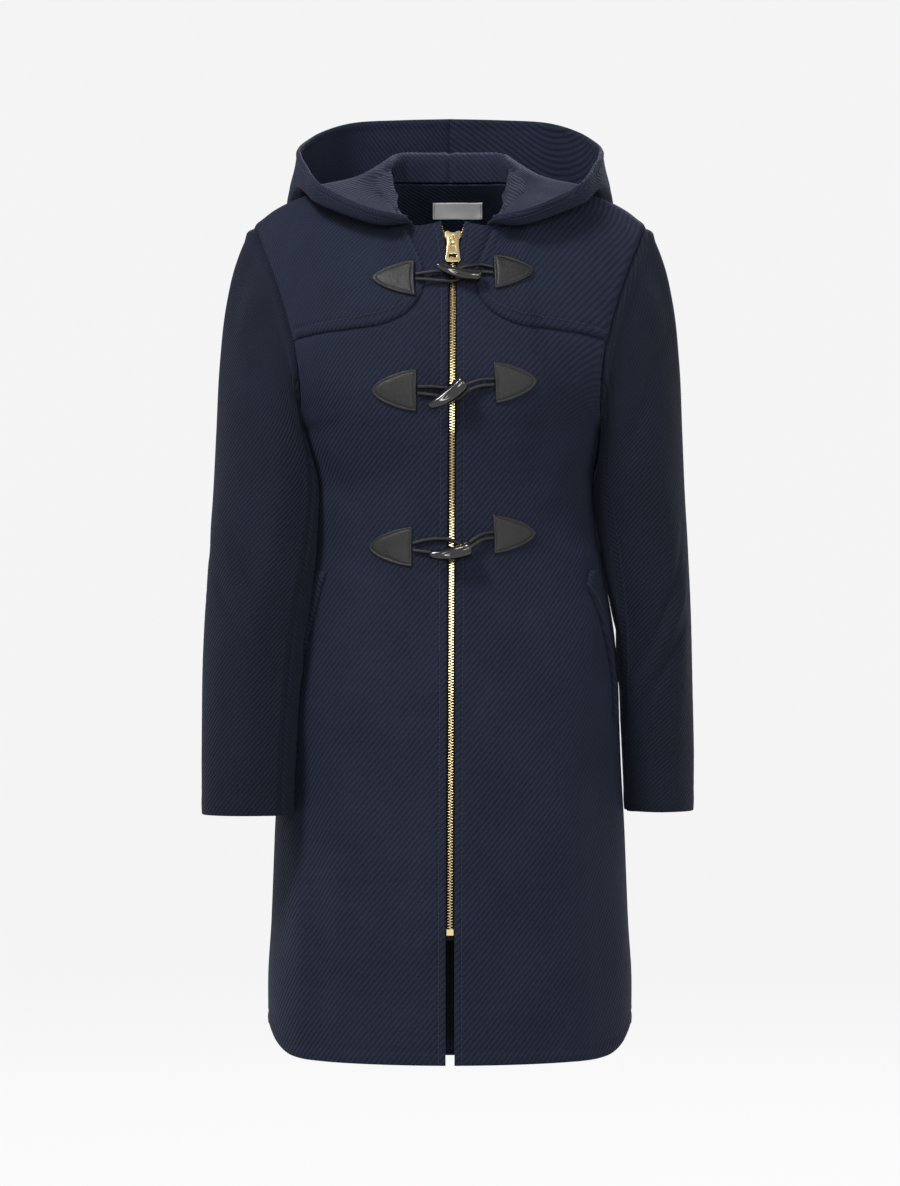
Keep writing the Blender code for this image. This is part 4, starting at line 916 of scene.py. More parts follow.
def make_hood(grids, looks):
    """Both halves of the hood, with a rolled rim and a seam down the middle."""
    hoods = {}
    for side in ("right", "left"):
        seam_front = grids[side][0][-1, HOOD_START]
        middle = grids["back"][0].shape[1] // 2
        points, normals = read_wall("hood_" + side, HOOD_CLOTH, (side_sign(side) * 0.5, 0.5, 0.1),
                                    seam_front, grids["back"][0][-1, middle])
        cloth = Cloth(points, normals, fine=("seam", "edge", "edge", "seam"), corner=-0.6)
        around = cloth.row_run - cloth.row_run[:, -1:]
        cloth.flat = np.stack((side_sign(side) * around, cloth.column_run), axis=-1)
        cloth.crease(HOOD_FOLDS, np.stack((cloth.row_run, cloth.column_run), axis=-1))
        cloth.renew()
        d = cloth.from_side("last_column")
        seam = 0.0005 * bump(d - 0.0060, 0.0035) - 0.0012 * bump(d, 0.0024)
        edge = cloth.from_side("last_row")
        roll = 0.0011 * bump(edge - 0.0028, 0.0030) - 0.0005 * bump(edge - TOPSTITCH, 0.0011)
        reach = cloth.normals * (HOOD_CLOTH / 2 + roll + seam)[..., None]
        sheet_piece("hood_panel_" + side, cloth, (cloth.points + reach, cloth.points - reach),
                    looks["hood"], "navy_twill", (SEWN_EDGE, 0.0019, TURNED_EDGE, SEWN_EDGE),
                    "hood_" + side)
        hoods[side] = cloth
    return hoods


def make_lining(looks):
    """The back lining, with long soft folds."""
    low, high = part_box("back_lining")
    points, normals = read_wall("back_lining", LINING_WALL, (0, 5, -0.5), (low.x, low.y, low.z),
                                (high.x, low.y, low.z))
    cloth = Cloth(points, normals, step=0.006)
    cloth.push(np.full(cloth.points.shape[:2], -LINING_DROP))
    place = cloth.points[..., (0, 2)]
    folds = [(x, -0.30, x * 1.05, -0.85, 0.03, 0.012, -0.0014) for x in
             (-0.140, -0.098, -0.052, -0.011, 0.034, 0.081, 0.127)]
    cloth.crease(folds, place)
    cloth.renew()
    cloth.flat = cut_of(cloth, 1)
    sheet_piece("lining_back", cloth, two_faces(cloth, LINING_WALL), looks["lining"],
                "black_lining", (0.0004,) * 4, "back_lining")


# ---- pieces laid on the fronts ----------------------------------------------------------------
YOKE_EDGE = ((0.0420, -0.0330), (0.0355, -0.0500), (0.0290, -0.0650), (0.0260, -0.0840),
             (0.0320, -0.1040), (0.0450, -0.1180), (0.0645, -0.1275), (0.1010, -0.1330),
             (0.1340, -0.1370), (0.1545, -0.1415))
YOKE_TOP = ((0.0, 0.0022), (0.0008, 0.0036), (0.0020, 0.0044), (0.0038, 0.0045), (0.0056, 0.0036),
            (0.0070, 0.0022), (0.0080, 0.0016), (0.0090, 0.0022), (0.0115, 0.0030), (0.03, 0.0028))
YOKE_STITCH = 0.0080
YOKE_ROWS = np.array([0, .009, .018, .028, .04, .052, .064, .075, .086, .098, .115, .14]
                     + list(np.linspace(.17, 1, 30)))    # shares of the way up
YOKE_COLUMNS = 72
YOKE_INSET = (2.2, 2.4)  # rows and columns between the yoke and the front's sewn edges
UNDERSIDE = 0.0003       # a laid piece's underside above the cloth
WELT_LINES = {
    "right": ((0.1390, -0.376), (0.1372, -0.388), (0.1460, -0.412), (0.1535, -0.436),
              (0.1590, -0.462), (0.1630, -0.488), (0.1640, -0.512), (0.1645, -0.529)),
    "left": ((0.1230, -0.377), (0.1265, -0.388), (0.1330, -0.412), (0.1400, -0.436),
             (0.1455, -0.462), (0.1500, -0.488), (0.1525, -0.512), (0.1535, -0.529)),
}
WELT_PROFILE = ((-0.0004, 0.0010), (0.0, 0.0022), (0.0010, 0.0030), (0.0022, 0.0034),
                (0.0045, 0.0034), (0.0070, 0.0028), (0.0088, 0.0018), (0.0096, 0.0013),
                (0.0106, 0.0018), (0.0125, 0.0014), (0.0150, 0.0002))

# leather tabs: side, middle of the straight side (x, z), length, width and tilt
LEATHER_TABS = (
    ("top", "left", -0.0353, -0.0843, 0.0408, 0.035, 0),
    ("top", "right", 0.0435, -0.0778, 0.0380, 0.035, 3),
    ("middle", "left", -0.0333, -0.1960, 0.0448, 0.042, 0),
    ("middle", "right", 0.0445, -0.1885, 0.0416, 0.041, 3),
    ("bottom", "left", -0.0375, -0.3520, 0.0435, 0.040, 0),
    ("bottom", "right", 0.0430, -0.3395, 0.0420, 0.039, 2),
)
TAB_SQUARENESS = 1.6
TAB_STITCH = 0.0032
TAB_RINGS = ((0.0, 0.0004), (0.0001, 0.0011), (0.0005, 0.0017), (0.0012, 0.0020), (0.0024, 0.0020),
             (0.0029, 0.0015), (0.0035, 0.0015), (0.0040, 0.0020), (0.0060, 0.0021))
OVER_YOKE = 0.0040
# toggles: middle, length, radius at the thick end, tilt, and lift off the cloth
TOGGLES = (
    ("top", 0.0060, -0.0815, 0.046, 0.0052, -16, 0.0072),
    ("middle", 0.0000, -0.2025, 0.043, 0.0068, 32, 0.0098),
    ("bottom", 0.0005, -0.3590, 0.042, 0.0064, 11, 0.0098),
)
TOGGLE_SHAPE = ((0.00, 0.10), (0.01, 0.24), (0.04, 0.42), (0.10, 0.55), (0.20, 0.68), (0.40, 0.83),
                (0.65, 0.94), (0.88, 1.00), (0.965, 0.98), (0.99, 0.90), (1.00, 0.80))
TOGGLE_SWELL = 1.14      # how much fuller the polished horn is than its blank
CORD_RADIUS = 0.0019
# routes of the cord loops: across and level
CORDS = {
    ("top", "left"): (
        (-0.0340, -0.0815), (-0.0200, -0.0790), (-0.0060, -0.0768), (0.0060, -0.0775),
        (0.0115, -0.0815), (0.0060, -0.0858), (-0.0060, -0.0868), (-0.0200, -0.0866),
        (-0.0340, -0.0862)),
    ("top", "right"): (
        (0.0416, -0.0740), (0.0300, -0.0720), (0.0190, -0.0730), (0.0100, -0.0765),
        (0.0068, -0.0803), (0.0110, -0.0835), (0.0200, -0.0805), (0.0305, -0.0795),
        (0.0422, -0.0800)),
    ("middle", "left"): (
        (-0.0324, -0.1925), (-0.0200, -0.1925), (-0.0080, -0.1935), (0.0030, -0.1950),
        (0.0090, -0.1990), (0.0040, -0.2035), (-0.0070, -0.2025), (-0.0195, -0.2005),
        (-0.0324, -0.1990)),
    ("middle", "right"): (
        (0.0432, -0.1850), (0.0330, -0.1855), (0.0220, -0.1890), (0.0090, -0.1950),
        (0.0010, -0.2010), (0.0060, -0.2050), (0.0170, -0.1975), (0.0310, -0.1920),
        (0.0436, -0.1905)),
    ("bottom", "left"): (
        (-0.0364, -0.3485), (-0.0250, -0.3455), (-0.0110, -0.3440), (0.0030, -0.3460),
        (0.0115, -0.3530), (0.0060, -0.3590), (-0.0060, -0.3595), (-0.0200, -0.3575),
        (-0.0364, -0.3555)),
    ("bottom", "right"): (
        (0.0418, -0.3370), (0.0330, -0.3385), (0.0230, -0.3440), (0.0120, -0.3510),
        (0.0030, -0.3560), (0.0080, -0.3605), (0.0190, -0.3530), (0.0320, -0.3445),
        (0.0420, -0.3430)),
}
# lifts off the cloth from a loop's first end to its turn and back; the top cords start on the yoke
CORD_LIFTS = {
    (True, "left"): (0.0056, 0.0054, 0.0034, 0.0027, 0.0027, 0.0027, 0.0034, 0.0054, 0.0056),
    (True, "right"): (0.0056, 0.0064) + (0.0072,) * 5 + (0.0064, 0.0056),
    (False, "left"): (0.0027,) * 9,
    (False, "right"): (0.0027, 0.0050) + (0.0072,) * 5 + (0.0050, 0.0027),
}


def read_line(at, run, values):
    """Values along a line, at distances from its start."""
    return np.stack([np.interp(at, run, column) for column in np.transpose(values)], axis=-1)


def at_shares(points, shares):
    """Points at some shares of a line's length."""
    run = run_lengths(points)
    return read_line(shares * run[-1], run, points)


def resample(points, count):
    """Evenly spaced points along a line."""
    run = run_lengths(points)
    return read_line(np.linspace(0, run[-1], count), run, points)


def smooth_line(points, count):
    """A smooth curve through a few points, evenly spaced."""
    points = np.array(points, float)
    return resample(read_curve(run_lengths(points), points,
                               np.linspace(0, run_lengths(points)[-1], count * 4), -2.0), count)


def patch(bottom, right, top, left, share):
    """Fill four sides with a grid: bottom and top run the same way, left and right upwards."""
    t = np.linspace(0, 1, len(bottom))[None, :, None]
    s = np.asarray(share)[:, None, None]
    flat = ((1 - s) * bottom[None] + s * top[None] + (1 - t) * left[:, None] + t * right[:, None])
    ends = ((1 - s) * (1 - t) * bottom[0] + (1 - s) * t * bottom[-1] + s * (1 - t) * top[0]
            + s * t * top[-1])
    return flat - ends


class Lay:
    """The lay of a front's cloth, found by x and z."""

    def __init__(self, cloth):
        self.cloth = cloth
        flat = cloth.points.reshape(-1, 3)
        self.tree = KDTree(len(flat))
        for k, point in enumerate(flat):
            self.tree.insert((point[0], 0.0, point[2]), k)
        self.tree.balance()

    def spot(self, x, z):
        """Fractional row and column of the cloth at x and z."""
        points = self.cloth.points
        wide = points.shape[1]
        i, j = divmod(self.tree.find((x, 0.0, z))[1], wide)
        i = min(max(i, 1), points.shape[0] - 2)
        j = min(max(j, 1), wide - 2)
        by_row = (points[i + 1, j] - points[i - 1, j])[[0, 2]] / 2
        by_column = (points[i, j + 1] - points[i, j - 1])[[0, 2]] / 2
        sides = np.stack((by_row, by_column), axis=1)
        if abs(np.linalg.det(sides)) < 1e-10:
            return float(i), float(j)
        move = np.clip(np.linalg.solve(sides, (x, z) - points[i, j][[0, 2]]), -1.5, 1.5)
        return (min(max(i + move[0], 0.0), points.shape[0] - 1.001),
                min(max(j + move[1], 0.0), wide - 1.001))


def over(lays, flat, lift):
    """Points and normals lifted off the fronts at flat x and z; negative x is the left front."""
    flat = np.asarray(flat, float)
    lift = np.broadcast_to(np.asarray(lift, float), flat.shape[:-1])
    points, normals = np.empty(flat.shape[:-1] + (3,)), np.empty(flat.shape[:-1] + (3,))
    for spot in np.ndindex(flat.shape[:-1]):
        x, z = flat[spot]
        lay = lays["right" if x >= 0.0015 else "left"]
        row, column = lay.spot(x, z)
        point, normal = lay.cloth.at([row], [column], [CLOTH / 2 + lift[spot]])
        if abs(x) < 0.012:
            point[0, 0] = x
        points[spot], normals[spot] = point[0], normal[0]
    return points, normals


def make_yokes(lays, looks):
    """Both yokes, laid on the fronts from a folded edge to the shoulder seam."""
    lines = []
    for side in ("right", "left"):
        way, lay = side_sign(side), lays[side]
        cloth = lay.cloth
        edge = smooth_line(YOKE_EDGE, YOKE_COLUMNS) * (way, 1)
        bottom = np.array([lay.spot(x, z) for x, z in edge])
        last = cloth.points.shape[0] - 1
        neck_point = float(cloth.points[-1, :, 2].argmax())
        row_in = last - YOKE_INSET[0]
        column_in = cloth.points.shape[1] - 1 - YOKE_INSET[1]
        top = np.linspace((row_in, neck_point), (row_in, column_in), YOKE_COLUMNS)
        bottom[-1, 1] = column_in
        left = at_shares(np.array([bottom[0], (row_in - 0.4, bottom[0, 1] * 0.35
                                               + neck_point * 0.65), top[0]]), YOKE_ROWS)
        right = at_shares(np.array([bottom[-1], top[-1]]), YOKE_ROWS)
        grid = patch(bottom, right, top, left, YOKE_ROWS)
        rows = np.clip(grid[..., 0], 0, last - 0.01)
        columns = np.clip(grid[..., 1], 0, cloth.points.shape[1] - 1.01)
        base, _ = cloth.at(rows, columns)
        gap = np.min(np.linalg.norm(base[:, :, None] - base[0][None, None], axis=-1), axis=-1)
        rest = np.minimum.reduce([np.linalg.norm(base - base[-1:], axis=-1),
                                  np.linalg.norm(base - base[:, :1], axis=-1),
                                  np.linalg.norm(base - base[:, -1:], axis=-1)])
        top_lift = np.interp(gap, *np.array(YOKE_TOP).T)
        top_lift = np.minimum(top_lift, 0.0012 + 0.0018 * smooth_step(rest / 0.005))
        outer, _ = cloth.at(rows, columns, CLOTH / 2 + top_lift)
        inner, _ = cloth.at(rows, columns, CLOTH / 2 + UNDERSIDE)
        made = Cloth.of(outer, cloth.at(rows, columns)[1])
        sheet_piece("yoke_panel_" + side, made, (outer, inner), looks["body"], "navy_twill",
                    (0.0011, SEWN_EDGE, SEWN_EDGE, SEWN_EDGE), "yoke_" + side,
                    blend(cloth.flat, rows, columns))
        k = int(np.abs(np.median(gap, axis=1) - YOKE_STITCH).argmin())
        lines.append((outer[k], made.normals[k]))
    return lines


def make_welts(lays, looks):
    """The slanted band at each pocket's opening."""
    lines = []
    for side in ("right", "left"):
        way, lay = side_sign(side), lays[side]
        cloth = lay.cloth
        line = smooth_line(WELT_LINES[side], 60) * (way, 1)
        spots = np.array([lay.spot(x, z) for x, z in line])
        pace = np.gradient(cloth.row_run, axis=1)
        i, j = spots.astype(int).T
        widths = np.array([w for w, _ in WELT_PROFILE])
        lifts = np.array([h for _, h in WELT_PROFILE])
        rows = np.repeat(spots[:, :1], len(widths), axis=1)
        columns = spots[:, 1:] + widths[None] / pace[i, j][:, None]
        ends = run_lengths(cloth.at(spots[:, 0], spots[:, 1])[0])
        close = np.minimum(ends, ends[-1] - ends)
        lift = UNDERSIDE + lifts[None] * (0.35 + 0.65 * smooth_step(close / 0.004))[:, None]
        outer, normals = cloth.at(rows, columns, CLOTH / 2 + lift)
        inner, _ = cloth.at(rows, columns, np.full(rows.shape, CLOTH / 2 + 0.0001))
        made = Cloth.of(outer, normals)
        flat = blend(cloth.flat, np.clip(rows, 0, cloth.points.shape[0] - 1.01),
                     np.clip(columns, 0, cloth.points.shape[1] - 1.01)) * (1, -1)
        sheet_piece("pocket_welt_band_" + side, made, (outer, inner), looks["body"], "navy_twill",
                    (0.0004, 0.0004, SEWN_EDGE, SEWN_EDGE), "pocket_welt_" + side,
                    flat)
        lines.append((outer[:, 7], normals[:, 7]))
        for end in (slice(2, 3), slice(-4, -3)):
            lines.append((outer[end, 1:9][0], normals[end, 1:9][0]))
    return lines


def tab_outline(side, root_x, root_z, length, width, tilt):
    """Outline of a leather tab: a straight side, and a rounded point away from it."""
    way, turn = side_sign(side), math.radians(tilt)
    points = []
    for k in range(121):
        angle = math.pi * (k / 120 - 0.5)
        along = length * abs(math.cos(angle)) ** (2 / TAB_SQUARENESS)
        across = width / 2 * math.copysign(abs(math.sin(angle)) ** (2 / TAB_SQUARENESS), angle)
        points.append((root_x + way * (along * math.cos(turn) - across * math.sin(turn)),
                       root_z + along * math.sin(turn) + across * math.cos(turn)))
    points = np.array(points)
    curve = resample(points, 72)
    straight = resample(np.array((points[-1], points[0])), 25)[1:-1]
    return np.vstack((curve, straight))


def make_leather_tabs(lays, looks):
    """Leather tabs with a pressed groove for their stitches."""
    lines = []
    for level, side, *shape in LEATHER_TABS:
        outline = tab_outline(side, *shape)
        middle = outline.mean(axis=0)
        reach = np.linalg.norm(outline - middle, axis=1, keepdims=True)
        base = OVER_YOKE if level == "top" else 0.0
        rings = []
        for inset, lift in TAB_RINGS:
            ring = middle + (outline - middle) * (1 - inset / reach)
            rings.append(over(lays, ring, base + lift)[0])
        field = ring - middle
        for share in (0.75, 0.50, 0.22):
            rings.append(over(lays, middle + field * share, base + 0.0022)[0])
        ring = middle + (outline - middle) * 0.999
        rings.insert(0, over(lays, ring, base + UNDERSIDE * 0.5)[0])
        faces = ring_faces(len(rings), len(outline))
        faces[0] = faces[0][::-1]
        solid_piece("leather_patch_%s_%s" % (level, side), np.vstack(rings), faces,
                    looks["leather"], ["leather_tab_%s_%s" % (level, side)])
        ring = middle + (outline - middle) * (1 - TAB_STITCH / reach)
        lines.append(over(lays, np.vstack((ring, ring[:1])), base + 0.0015))
    return lines


def ring_faces(count, size, first=0):
    """Squares between rings of points, and a cap at either end."""
    faces = [tuple(first + k for k in range(size))]
    for i in range(count - 1):
        base = first + i * size
        faces += [(base + k, base + (k + 1) % size, base + size + (k + 1) % size, base + size + k)
                  for k in range(size)]
    faces.append(tuple(first + (count - 1) * size + k for k in range(size)))
    return faces


def solid_piece(name, points, faces, finish, replaced=(), body=BODY):
    """A closed mesh piece that rides on a body."""
    mesh = bpy.data.meshes.new(name)
    mesh.from_pydata([tuple(p) for p in points], [], faces)
    shape = bmesh.new()
    shape.from_mesh(mesh)
    bmesh.ops.recalc_face_normals(shape, faces=shape.faces)
    shape.to_mesh(mesh)
    shape.free()
    mesh.shade_smooth()
    mesh.materials.append(finish)
    made = link(name, mesh)
    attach(made, body)
    if replaced:
        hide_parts(*replaced)
    return made


def make_toggles(lays, looks):
    """Curved horn toggles with a waist for the cord."""
    sides, rings = 36, 54
    for level, x, z, length, radius, tilt, lift in TOGGLES:
        angle = math.radians(tilt)
        reach = np.array((math.cos(angle), math.sin(angle))) * length * 0.4
        left = over(lays, (x - reach[0], z - reach[1]), lift + radius)[0]
        right = over(lays, (x + reach[0], z + reach[1]), lift + radius)[0]
        along = unit(right - left)
        out = unit(np.cross(along, np.cross((0.0, -1.0, 0.0), along)))
        upward = np.cross(out, along)
        radius *= TOGGLE_SWELL
        shape = np.array(TOGGLE_SHAPE)
        at = np.sort(np.concatenate((np.linspace(0, 1, rings - 12), 0.006 * np.arange(1, 7),
                                     1 - 0.006 * np.arange(1, 7))))
        size = read_curve(shape[:, 0], shape[:, 1:], at, -2.0)[:, 0]
        turns = 2 * math.pi * np.arange(sides) / sides
        points = []
        for share, wide in zip(at, size):
            bow = length * (0.03 - 0.06 * (1 - (2 * share - 1) ** 2))
            core = (left + right) / 2 + along * (share - 0.5) * length + upward * bow
            for turn in turns:
                ahead = math.cos(turn - math.pi / 2)
                slot = bump((share - 0.50) / 0.15, 1.0) * bump(math.cos(turn) / 0.42, 1.0) ** 2
                dent = 0.26 * slot if ahead > 0 else 0.0
                points.append(core + radius * wide * (1 - dent) * (upward * math.cos(turn)
                                                                 + out * math.sin(turn)))
        solid_piece("horn_toggle_" + level, points, ring_faces(len(at), sides), looks["horn"],
                    ["toggle_" + level])


def make_cords(lays, looks):
    """Leather cord loops along their routes."""
    for (level, side), route in CORDS.items():
        points, _ = over(lays, route, CORD_LIFTS[level == "top", side])
        line = smooth_line(points, 90)
        curve = bpy.data.curves.new("leather_cord_%s_%s" % (level, side), "CURVE")
        curve.dimensions = "3D"
        curve.bevel_depth, curve.bevel_resolution, curve.use_fill_caps = CORD_RADIUS, 4, True
        spline = curve.splines.new("POLY")
        spline.points.add(len(line) - 1)
        for k, point in enumerate(line):
            spline.points[k].co = (*point, 1.0)
        spline.use_smooth = True
        curve.materials.append(looks["thong"])
        made = link(curve.name, curve)
        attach(made, BODY)
        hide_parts("cord_%s_%s" % (level, side))


# ---- stitches ----------------------------------------------------------------------------------
def stitch_lines(name, lines, finish, slot, thickness=CLOTH_STITCH[0], length=CLOTH_STITCH[1],
                 gap=CLOTH_STITCH[2]):
    """Small sunken stitches along lines of points and normals, as one piece."""
    around, rings = 6, ((0.0, 0.35), (0.12, 0.85), (0.5, 1.0), (0.88, 0.85), (1.0, 0.35))
    vertices, faces = [], []
    for points, normals in lines:
        run = run_lengths(points)
        count = int(run[-1] / (length + gap))
        for k in range(count):
            start = k * (length + gap) + gap / 2
            first = len(vertices)
            for share, wide in rings:
                at = start + share * length
                spot = read_line(at, run, points)
                after = read_line(at + 0.0004, run, points)
                normal = unit(read_line(at, run, normals))
                along = unit(after - spot)
                side = np.cross(along, normal)
                low = 0.00008 + 0.00028 * (1 - (2 * share - 1) ** 2)
                for a in range(around):
                    turn = 2 * math.pi * a / around
                    vertices.append(spot + normal * (low + thickness * 0.6 * wide * math.sin(turn))
                                    + side * thickness * wide * math.cos(turn))
            faces += ring_faces(len(rings), around, first)
    return solid_piece(name, vertices, faces, finish)


def line_along(cloth, side, distance):
    """The outer face's line at a distance from one side of a cloth piece."""
    gaps = cloth.from_side(side)
    if side in ("first_column", "last_column"):
        picks = np.abs(gaps - distance).argmin(axis=1)
        spots = [(i, j) for i, j in enumerate(picks)]
    else:
        picks = np.abs(gaps - distance).argmin(axis=0)
        spots = [(i, j) for j, i in enumerate(picks)]
    rows, columns = np.array(spots).T
    normals = cloth.normals[rows, columns]
    return cloth.points[rows, columns] + normals * cloth.half, normals


# ---- zip -----------------------------------------------------------------------------------------
ZIP_TOP_Z = -0.024
ZIP_BOTTOM_Z = -0.735
ZIP_END = 0.0035         # bare tape at either end of the teeth
TAPE_WALL, TAPE_WIDTH = 0.0008, 0.0135
PIN = np.array((0.002911, -0.094338, -0.040572))
PIN_IN_SLIDER = (0.0, -0.0049, 0.0030)
SLIDER_TURN = -0.33053
TOOTH_HALF = (0.00050, 0.00125)     # along the tape, and off it
TOOTH_OUTLINE = ((-0.62, -1), (0.62, -1), (1, -0.55), (1, 0.55), (0.62, 1), (-0.62, 1),
                 (-1, 0.55), (-1, -0.55))
# a tooth's sections: place across, and size
TOOTH = ((-0.0014, 0.45), (-0.0010, 0.85), (0.0, 1.0), (0.0022, 1.0), (0.0026, 0.85))


def make_zip(looks):
    for side in ("right", "left"):
        way = side_sign(side)
        low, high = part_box("zip_tape_" + side)
        inner = low.x if way > 0 else high.x
        points, normals = read_wall("zip_tape_" + side, TAPE_WALL, (0, -5, -0.4),
                                    (inner, low.y, low.z), (inner + way * TAPE_WIDTH, low.y, low.z))
        tape = Cloth(points, normals, step=0.0022, corner=-0.5)
        tape.flat = cut_of(tape, way)
        bead = 0.0005 * bump(tape.row_run - 0.0006, 0.0009)
        faces = (tape.points + tape.normals * (TAPE_WALL / 2 + bead)[..., None],
                 tape.points - tape.normals * (TAPE_WALL / 2))
        sheet_piece("tape_" + side, tape, faces, looks["tape"], "zip_tape", (0.0002,) * 4,
                    "zip_tape_" + side)
        make_teeth(side, tape, looks)


def make_teeth(side, tape, looks):
    """Metal teeth on a tape's inner edge, half a pitch apart on the two sides."""
    way = side_sign(side)
    edge, run = tape.points[:, 0], run_lengths(tape.points[:, 0])
    across = unit(tape.points[:, 1] - tape.points[:, 0])
    start, stop = np.interp((ZIP_BOTTOM_Z + ZIP_END, ZIP_TOP_Z - ZIP_END), edge[:, 2], run)
    start += 0.0 if way > 0 else TOOTH_PITCH / 2
    vertices, faces = [], []
    for at in np.arange(start, stop, TOOTH_PITCH):
        spot = read_line(at, run, edge)
        outward = unit(read_line(at, run, across))
        normal = unit(read_line(at, run, tape.normals[:, 0]))
        along = np.cross(normal, outward) * way
        first = len(vertices)
        for place, size in TOOTH:
            for a, b in TOOTH_OUTLINE:
                vertices.append(spot + outward * place + along * a * TOOTH_HALF[0] * size
                                + normal * b * TOOTH_HALF[1] * size)
        faces += ring_faces(len(TOOTH), len(TOOTH_OUTLINE), first)
    made = solid_piece("zip_teeth_" + side, vertices, faces, looks["gold"])
    made.data.shade_flat()


def pick_only(piece):
    bpy.ops.object.select_all(action="DESELECT")
    piece.select_set(True)
    bpy.context.view_layer.objects.active = piece


def apply_all(piece):
    pick_only(piece)
    for modifier in list(piece.modifiers):
        bpy.ops.object.modifier_apply(modifier=modifier.name)


def face_out(piece):
    """Turn all faces of a closed piece outward."""
    pick_only(piece)
    bpy.ops.object.mode_set(mode="EDIT")
    bpy.ops.mesh.select_all(action="SELECT")
    bpy.ops.mesh.normals_make_consistent(inside=False)
    bpy.ops.object.mode_set(mode="OBJECT")


def plate(name, outline, front, back):
    """A flat plate between two depths, with an outline of x and z."""
    bpy.ops.object.select_all(action="DESELECT")
    mesh = bpy.data.meshes.new(name)
    mesh.from_pydata([(x, front, z) for x, z in outline], [], [tuple(range(len(outline)))])
    made = link(name, mesh)
    pick_only(made)
    bpy.ops.object.mode_set(mode="EDIT")
    bpy.ops.mesh.select_all(action="SELECT")
    bpy.ops.mesh.extrude_region_move(TRANSFORM_OT_translate={"value": (0, back - front, 0)})
    bpy.ops.object.mode_set(mode="OBJECT")
    face_out(made)
    return made


def block(name, low, high):
    """A rectangular block between two corners."""
    return plate(name, ((low[0], low[2]), (high[0], low[2]), (high[0], high[2]), (low[0], high[2])),
                 low[1], high[1])


def combine(piece, tools, operation):
    """Join tools to a piece or cut them out of it."""
    for tool in tools:
        cut = piece.modifiers.new("cut", "BOOLEAN")
        cut.operation, cut.object, cut.solver = operation, tool, "EXACT"
    apply_all(piece)
    for tool in tools:
        bpy.data.objects.remove(tool, do_unlink=True)


def rounded(points, radius, steps=5):
    """Round the corners of an outline."""
    points = [np.array(p, float) for p in points]
    result = []
    for before, corner, after in zip(points[-1:] + points[:-1], points, points[1:] + points[:1]):
        to_before, to_after = before - corner, after - corner
        cut = min(radius, np.linalg.norm(to_before) * 0.45, np.linalg.norm(to_after) * 0.45)
        a, b = corner + unit(to_before) * cut, corner + unit(to_after) * cut
        for t in np.linspace(0, 1, steps):
            result.append(tuple((1 - t) ** 2 * a + 2 * t * (1 - t) * corner + t * t * b))
    return result


def set_on_zip(piece, finish, body, replaced, bevel):
    """Round a slider piece's edges, put it in its place on the zip, and let it ride."""
    edge = piece.modifiers.new("edge", "BEVEL")
    edge.width, edge.segments, edge.limit_method = bevel, 3, "ANGLE"
    apply_all(piece)
    turn = Matrix.Rotation(SLIDER_TURN, 4, "X")
    place = Vector(PIN) - turn @ Vector(PIN_IN_SLIDER)
    piece.data.transform(Matrix.Translation(place) @ turn)
    piece.data.materials.clear()
    piece.data.materials.append(finish)
    piece.data.shade_smooth()
    pick_only(piece)
    bpy.ops.object.shade_smooth_by_angle(angle=math.radians(40))
    bpy.ops.object.select_all(action="DESELECT")
    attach(piece, body)
    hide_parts(*replaced)


def make_slider(looks):
    """The slider's body with its rear plate, lips, post and bridge."""
    half = ((0.0045, -0.0110), (0.0060, -0.0095), (0.0060, 0.0015), (0.0080, 0.0040),
            (0.0080, 0.0095), (0.0060, 0.0108), (0.0034, 0.0098), (0.0018, 0.0088))
    outline = rounded(list(half) + [(-x, z) for x, z in reversed(half)], 0.0014)
    body = plate("slider_body", outline, -0.0034, -0.0018)
    parts = [plate("slider_rear", outline, 0.0018, 0.0030),
             block("slider_post", (-0.0012, -0.0020, 0.0060), (0.0012, 0.0020, 0.0087))]
    for k, (a, b) in enumerate(((0.0046, 0.0058), (-0.0058, -0.0046))):
        parts.append(block("slider_lip_%d" % k, (a, -0.0030, -0.0090), (b, -0.0007, 0.0010)))
    bridge = rounded(((-0.0058, -0.0030), (-0.0045, -0.0077), (0.0050, -0.0077),
                      (0.0063, -0.0030)), 0.0022)
    arch = plate("slider_bridge", [(y, z) for z, y in bridge], -0.0015, 0.0015)
    arch.data.transform(Matrix(((0, 1, 0, 0), (1, 0, 0, 0), (0, 0, 1, 0), (0, 0, 0, 1))))
    face_out(arch)
    combine(body, parts + [arch], "UNION")
    combine(body, [block("passage", (-0.004, -0.0064, -0.0040), (0.004, -0.00345, 0.0045))],
            "DIFFERENCE")
    set_on_zip(body, looks["gold"], BODY, ["zip_slider"], 0.00028)


def make_pull_tab(looks):
    """The pull tab, hung on the bridge by its slot."""
    pin = np.array((PIN_IN_SLIDER[1], PIN_IN_SLIDER[2]))
    half = ((0.0062, -0.0268), (0.0075, -0.0250), (0.0050, 0.0000), (0.0044, 0.0007))
    outline = rounded(list(half) + [(-x, z) for x, z in reversed(half)], 0.0016)

    def hung(x, z):
        return x, z + pin[1]

    tab = plate("pull_tab", [hung(x, z) for x, z in outline], pin[0] - 0.0007, pin[0] + 0.0007)
    slot = rounded(((-0.0024, -0.0105), (0.0024, -0.0105), (0.0024, -0.0007), (-0.0024, -0.0007)),
                   0.0008)
    window = rounded(((-0.0040, -0.0222), (0.0040, -0.0222), (0.0040, -0.0182),
                      (-0.0040, -0.0182)), 0.0012)
    combine(tab, [plate("cut_%d" % k, [hung(x, z) for x, z in shape], pin[0] - 0.003,
                        pin[0] + 0.003) for k, shape in enumerate((slot, window))], "DIFFERENCE")
    set_on_zip(tab, looks["gold"], PULL, ["zip_pull_tab"], 0.00026)


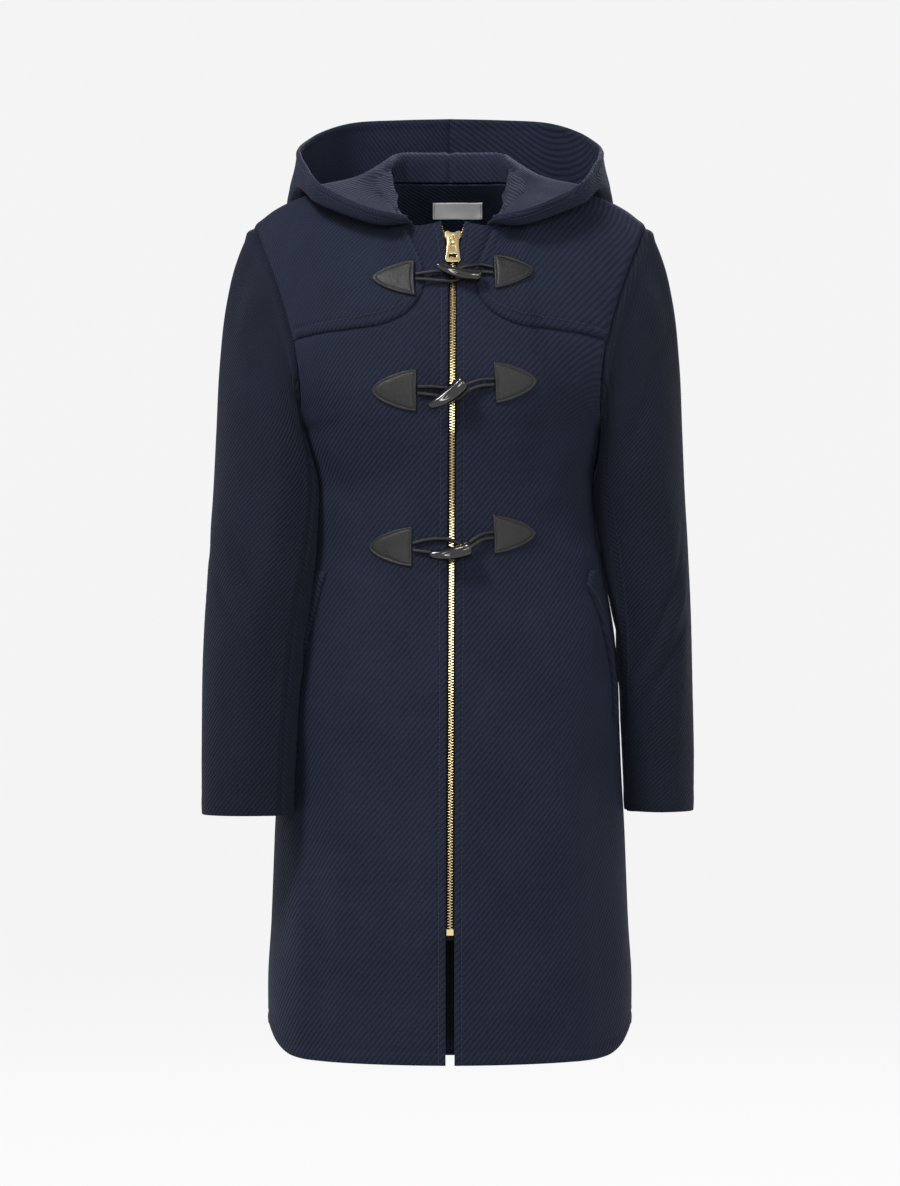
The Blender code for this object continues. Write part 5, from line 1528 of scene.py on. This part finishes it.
def make_stop(looks):
    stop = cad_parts["zip_bottom_stop"]
    stop.data.materials.clear()
    stop.data.materials.append(looks["gold"])


def make_label(looks):
    """A blank woven label, slightly puckered."""
    low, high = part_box("label")
    points, normals = read_wall("label", LABEL_WALL, (0, -5, -0.5), (low.x, low.y, low.z),
                                (high.x, low.y, low.z))
    cloth = Cloth(points, normals, step=0.0016)
    cloth.push(0.0003 * np.sin(cloth.row_run * 210) * bump(cloth.column_run - 0.008, 0.008))
    cloth.renew()
    cloth.flat = cut_of(cloth, 1)
    cloth.half = LABEL_WALL / 2
    sheet_piece("neck_label", cloth, two_faces(cloth, LABEL_WALL), looks["label"], "white_label",
                (0.0002,) * 4, "label")
    return [line_along(cloth, side, 0.0022) for side in ("first_column", "last_column")]


def main():
    make_studio()
    looks = make_finishes()
    grids = read_body()
    fronts = make_fronts(grids, looks)
    back = make_back(grids, looks)
    make_sleeves(grids, looks)
    hoods = make_hood(grids, looks)
    make_lining(looks)
    lays = {side: Lay(cloth) for side, cloth in fronts.items()}
    yoke_lines = make_yokes(lays, looks)
    welt_lines = make_welts(lays, looks)
    tab_lines = make_leather_tabs(lays, looks)
    make_toggles(lays, looks)
    make_cords(lays, looks)
    make_zip(looks)
    make_slider(looks)
    make_pull_tab(looks)
    make_stop(looks)
    label_lines = make_label(looks)

    for cloth in list(fronts.values()) + [back]:
        cloth.half = CLOTH / 2
    for cloth in hoods.values():
        cloth.half = HOOD_CLOTH / 2
    rows = {"front_" + side: [line_along(cloth, "first_column", TOPSTITCH)]
            for side, cloth in fronts.items()}
    rows.update(yokes=yoke_lines, pockets=welt_lines,
                hood=[line_along(cloth, "last_row", TOPSTITCH) for cloth in hoods.values()])
    for place, lines in rows.items():
        stitch_lines("stitches_" + place, lines, looks["thread"], "navy_twill")
    stitch_lines("stitches_leather", tab_lines, looks["stitch"], "black_leather", *LEATHER_STITCH)
    stitch_lines("stitches_label", label_lines, looks["thread"], "navy_twill", *LABEL_STITCH)


main()
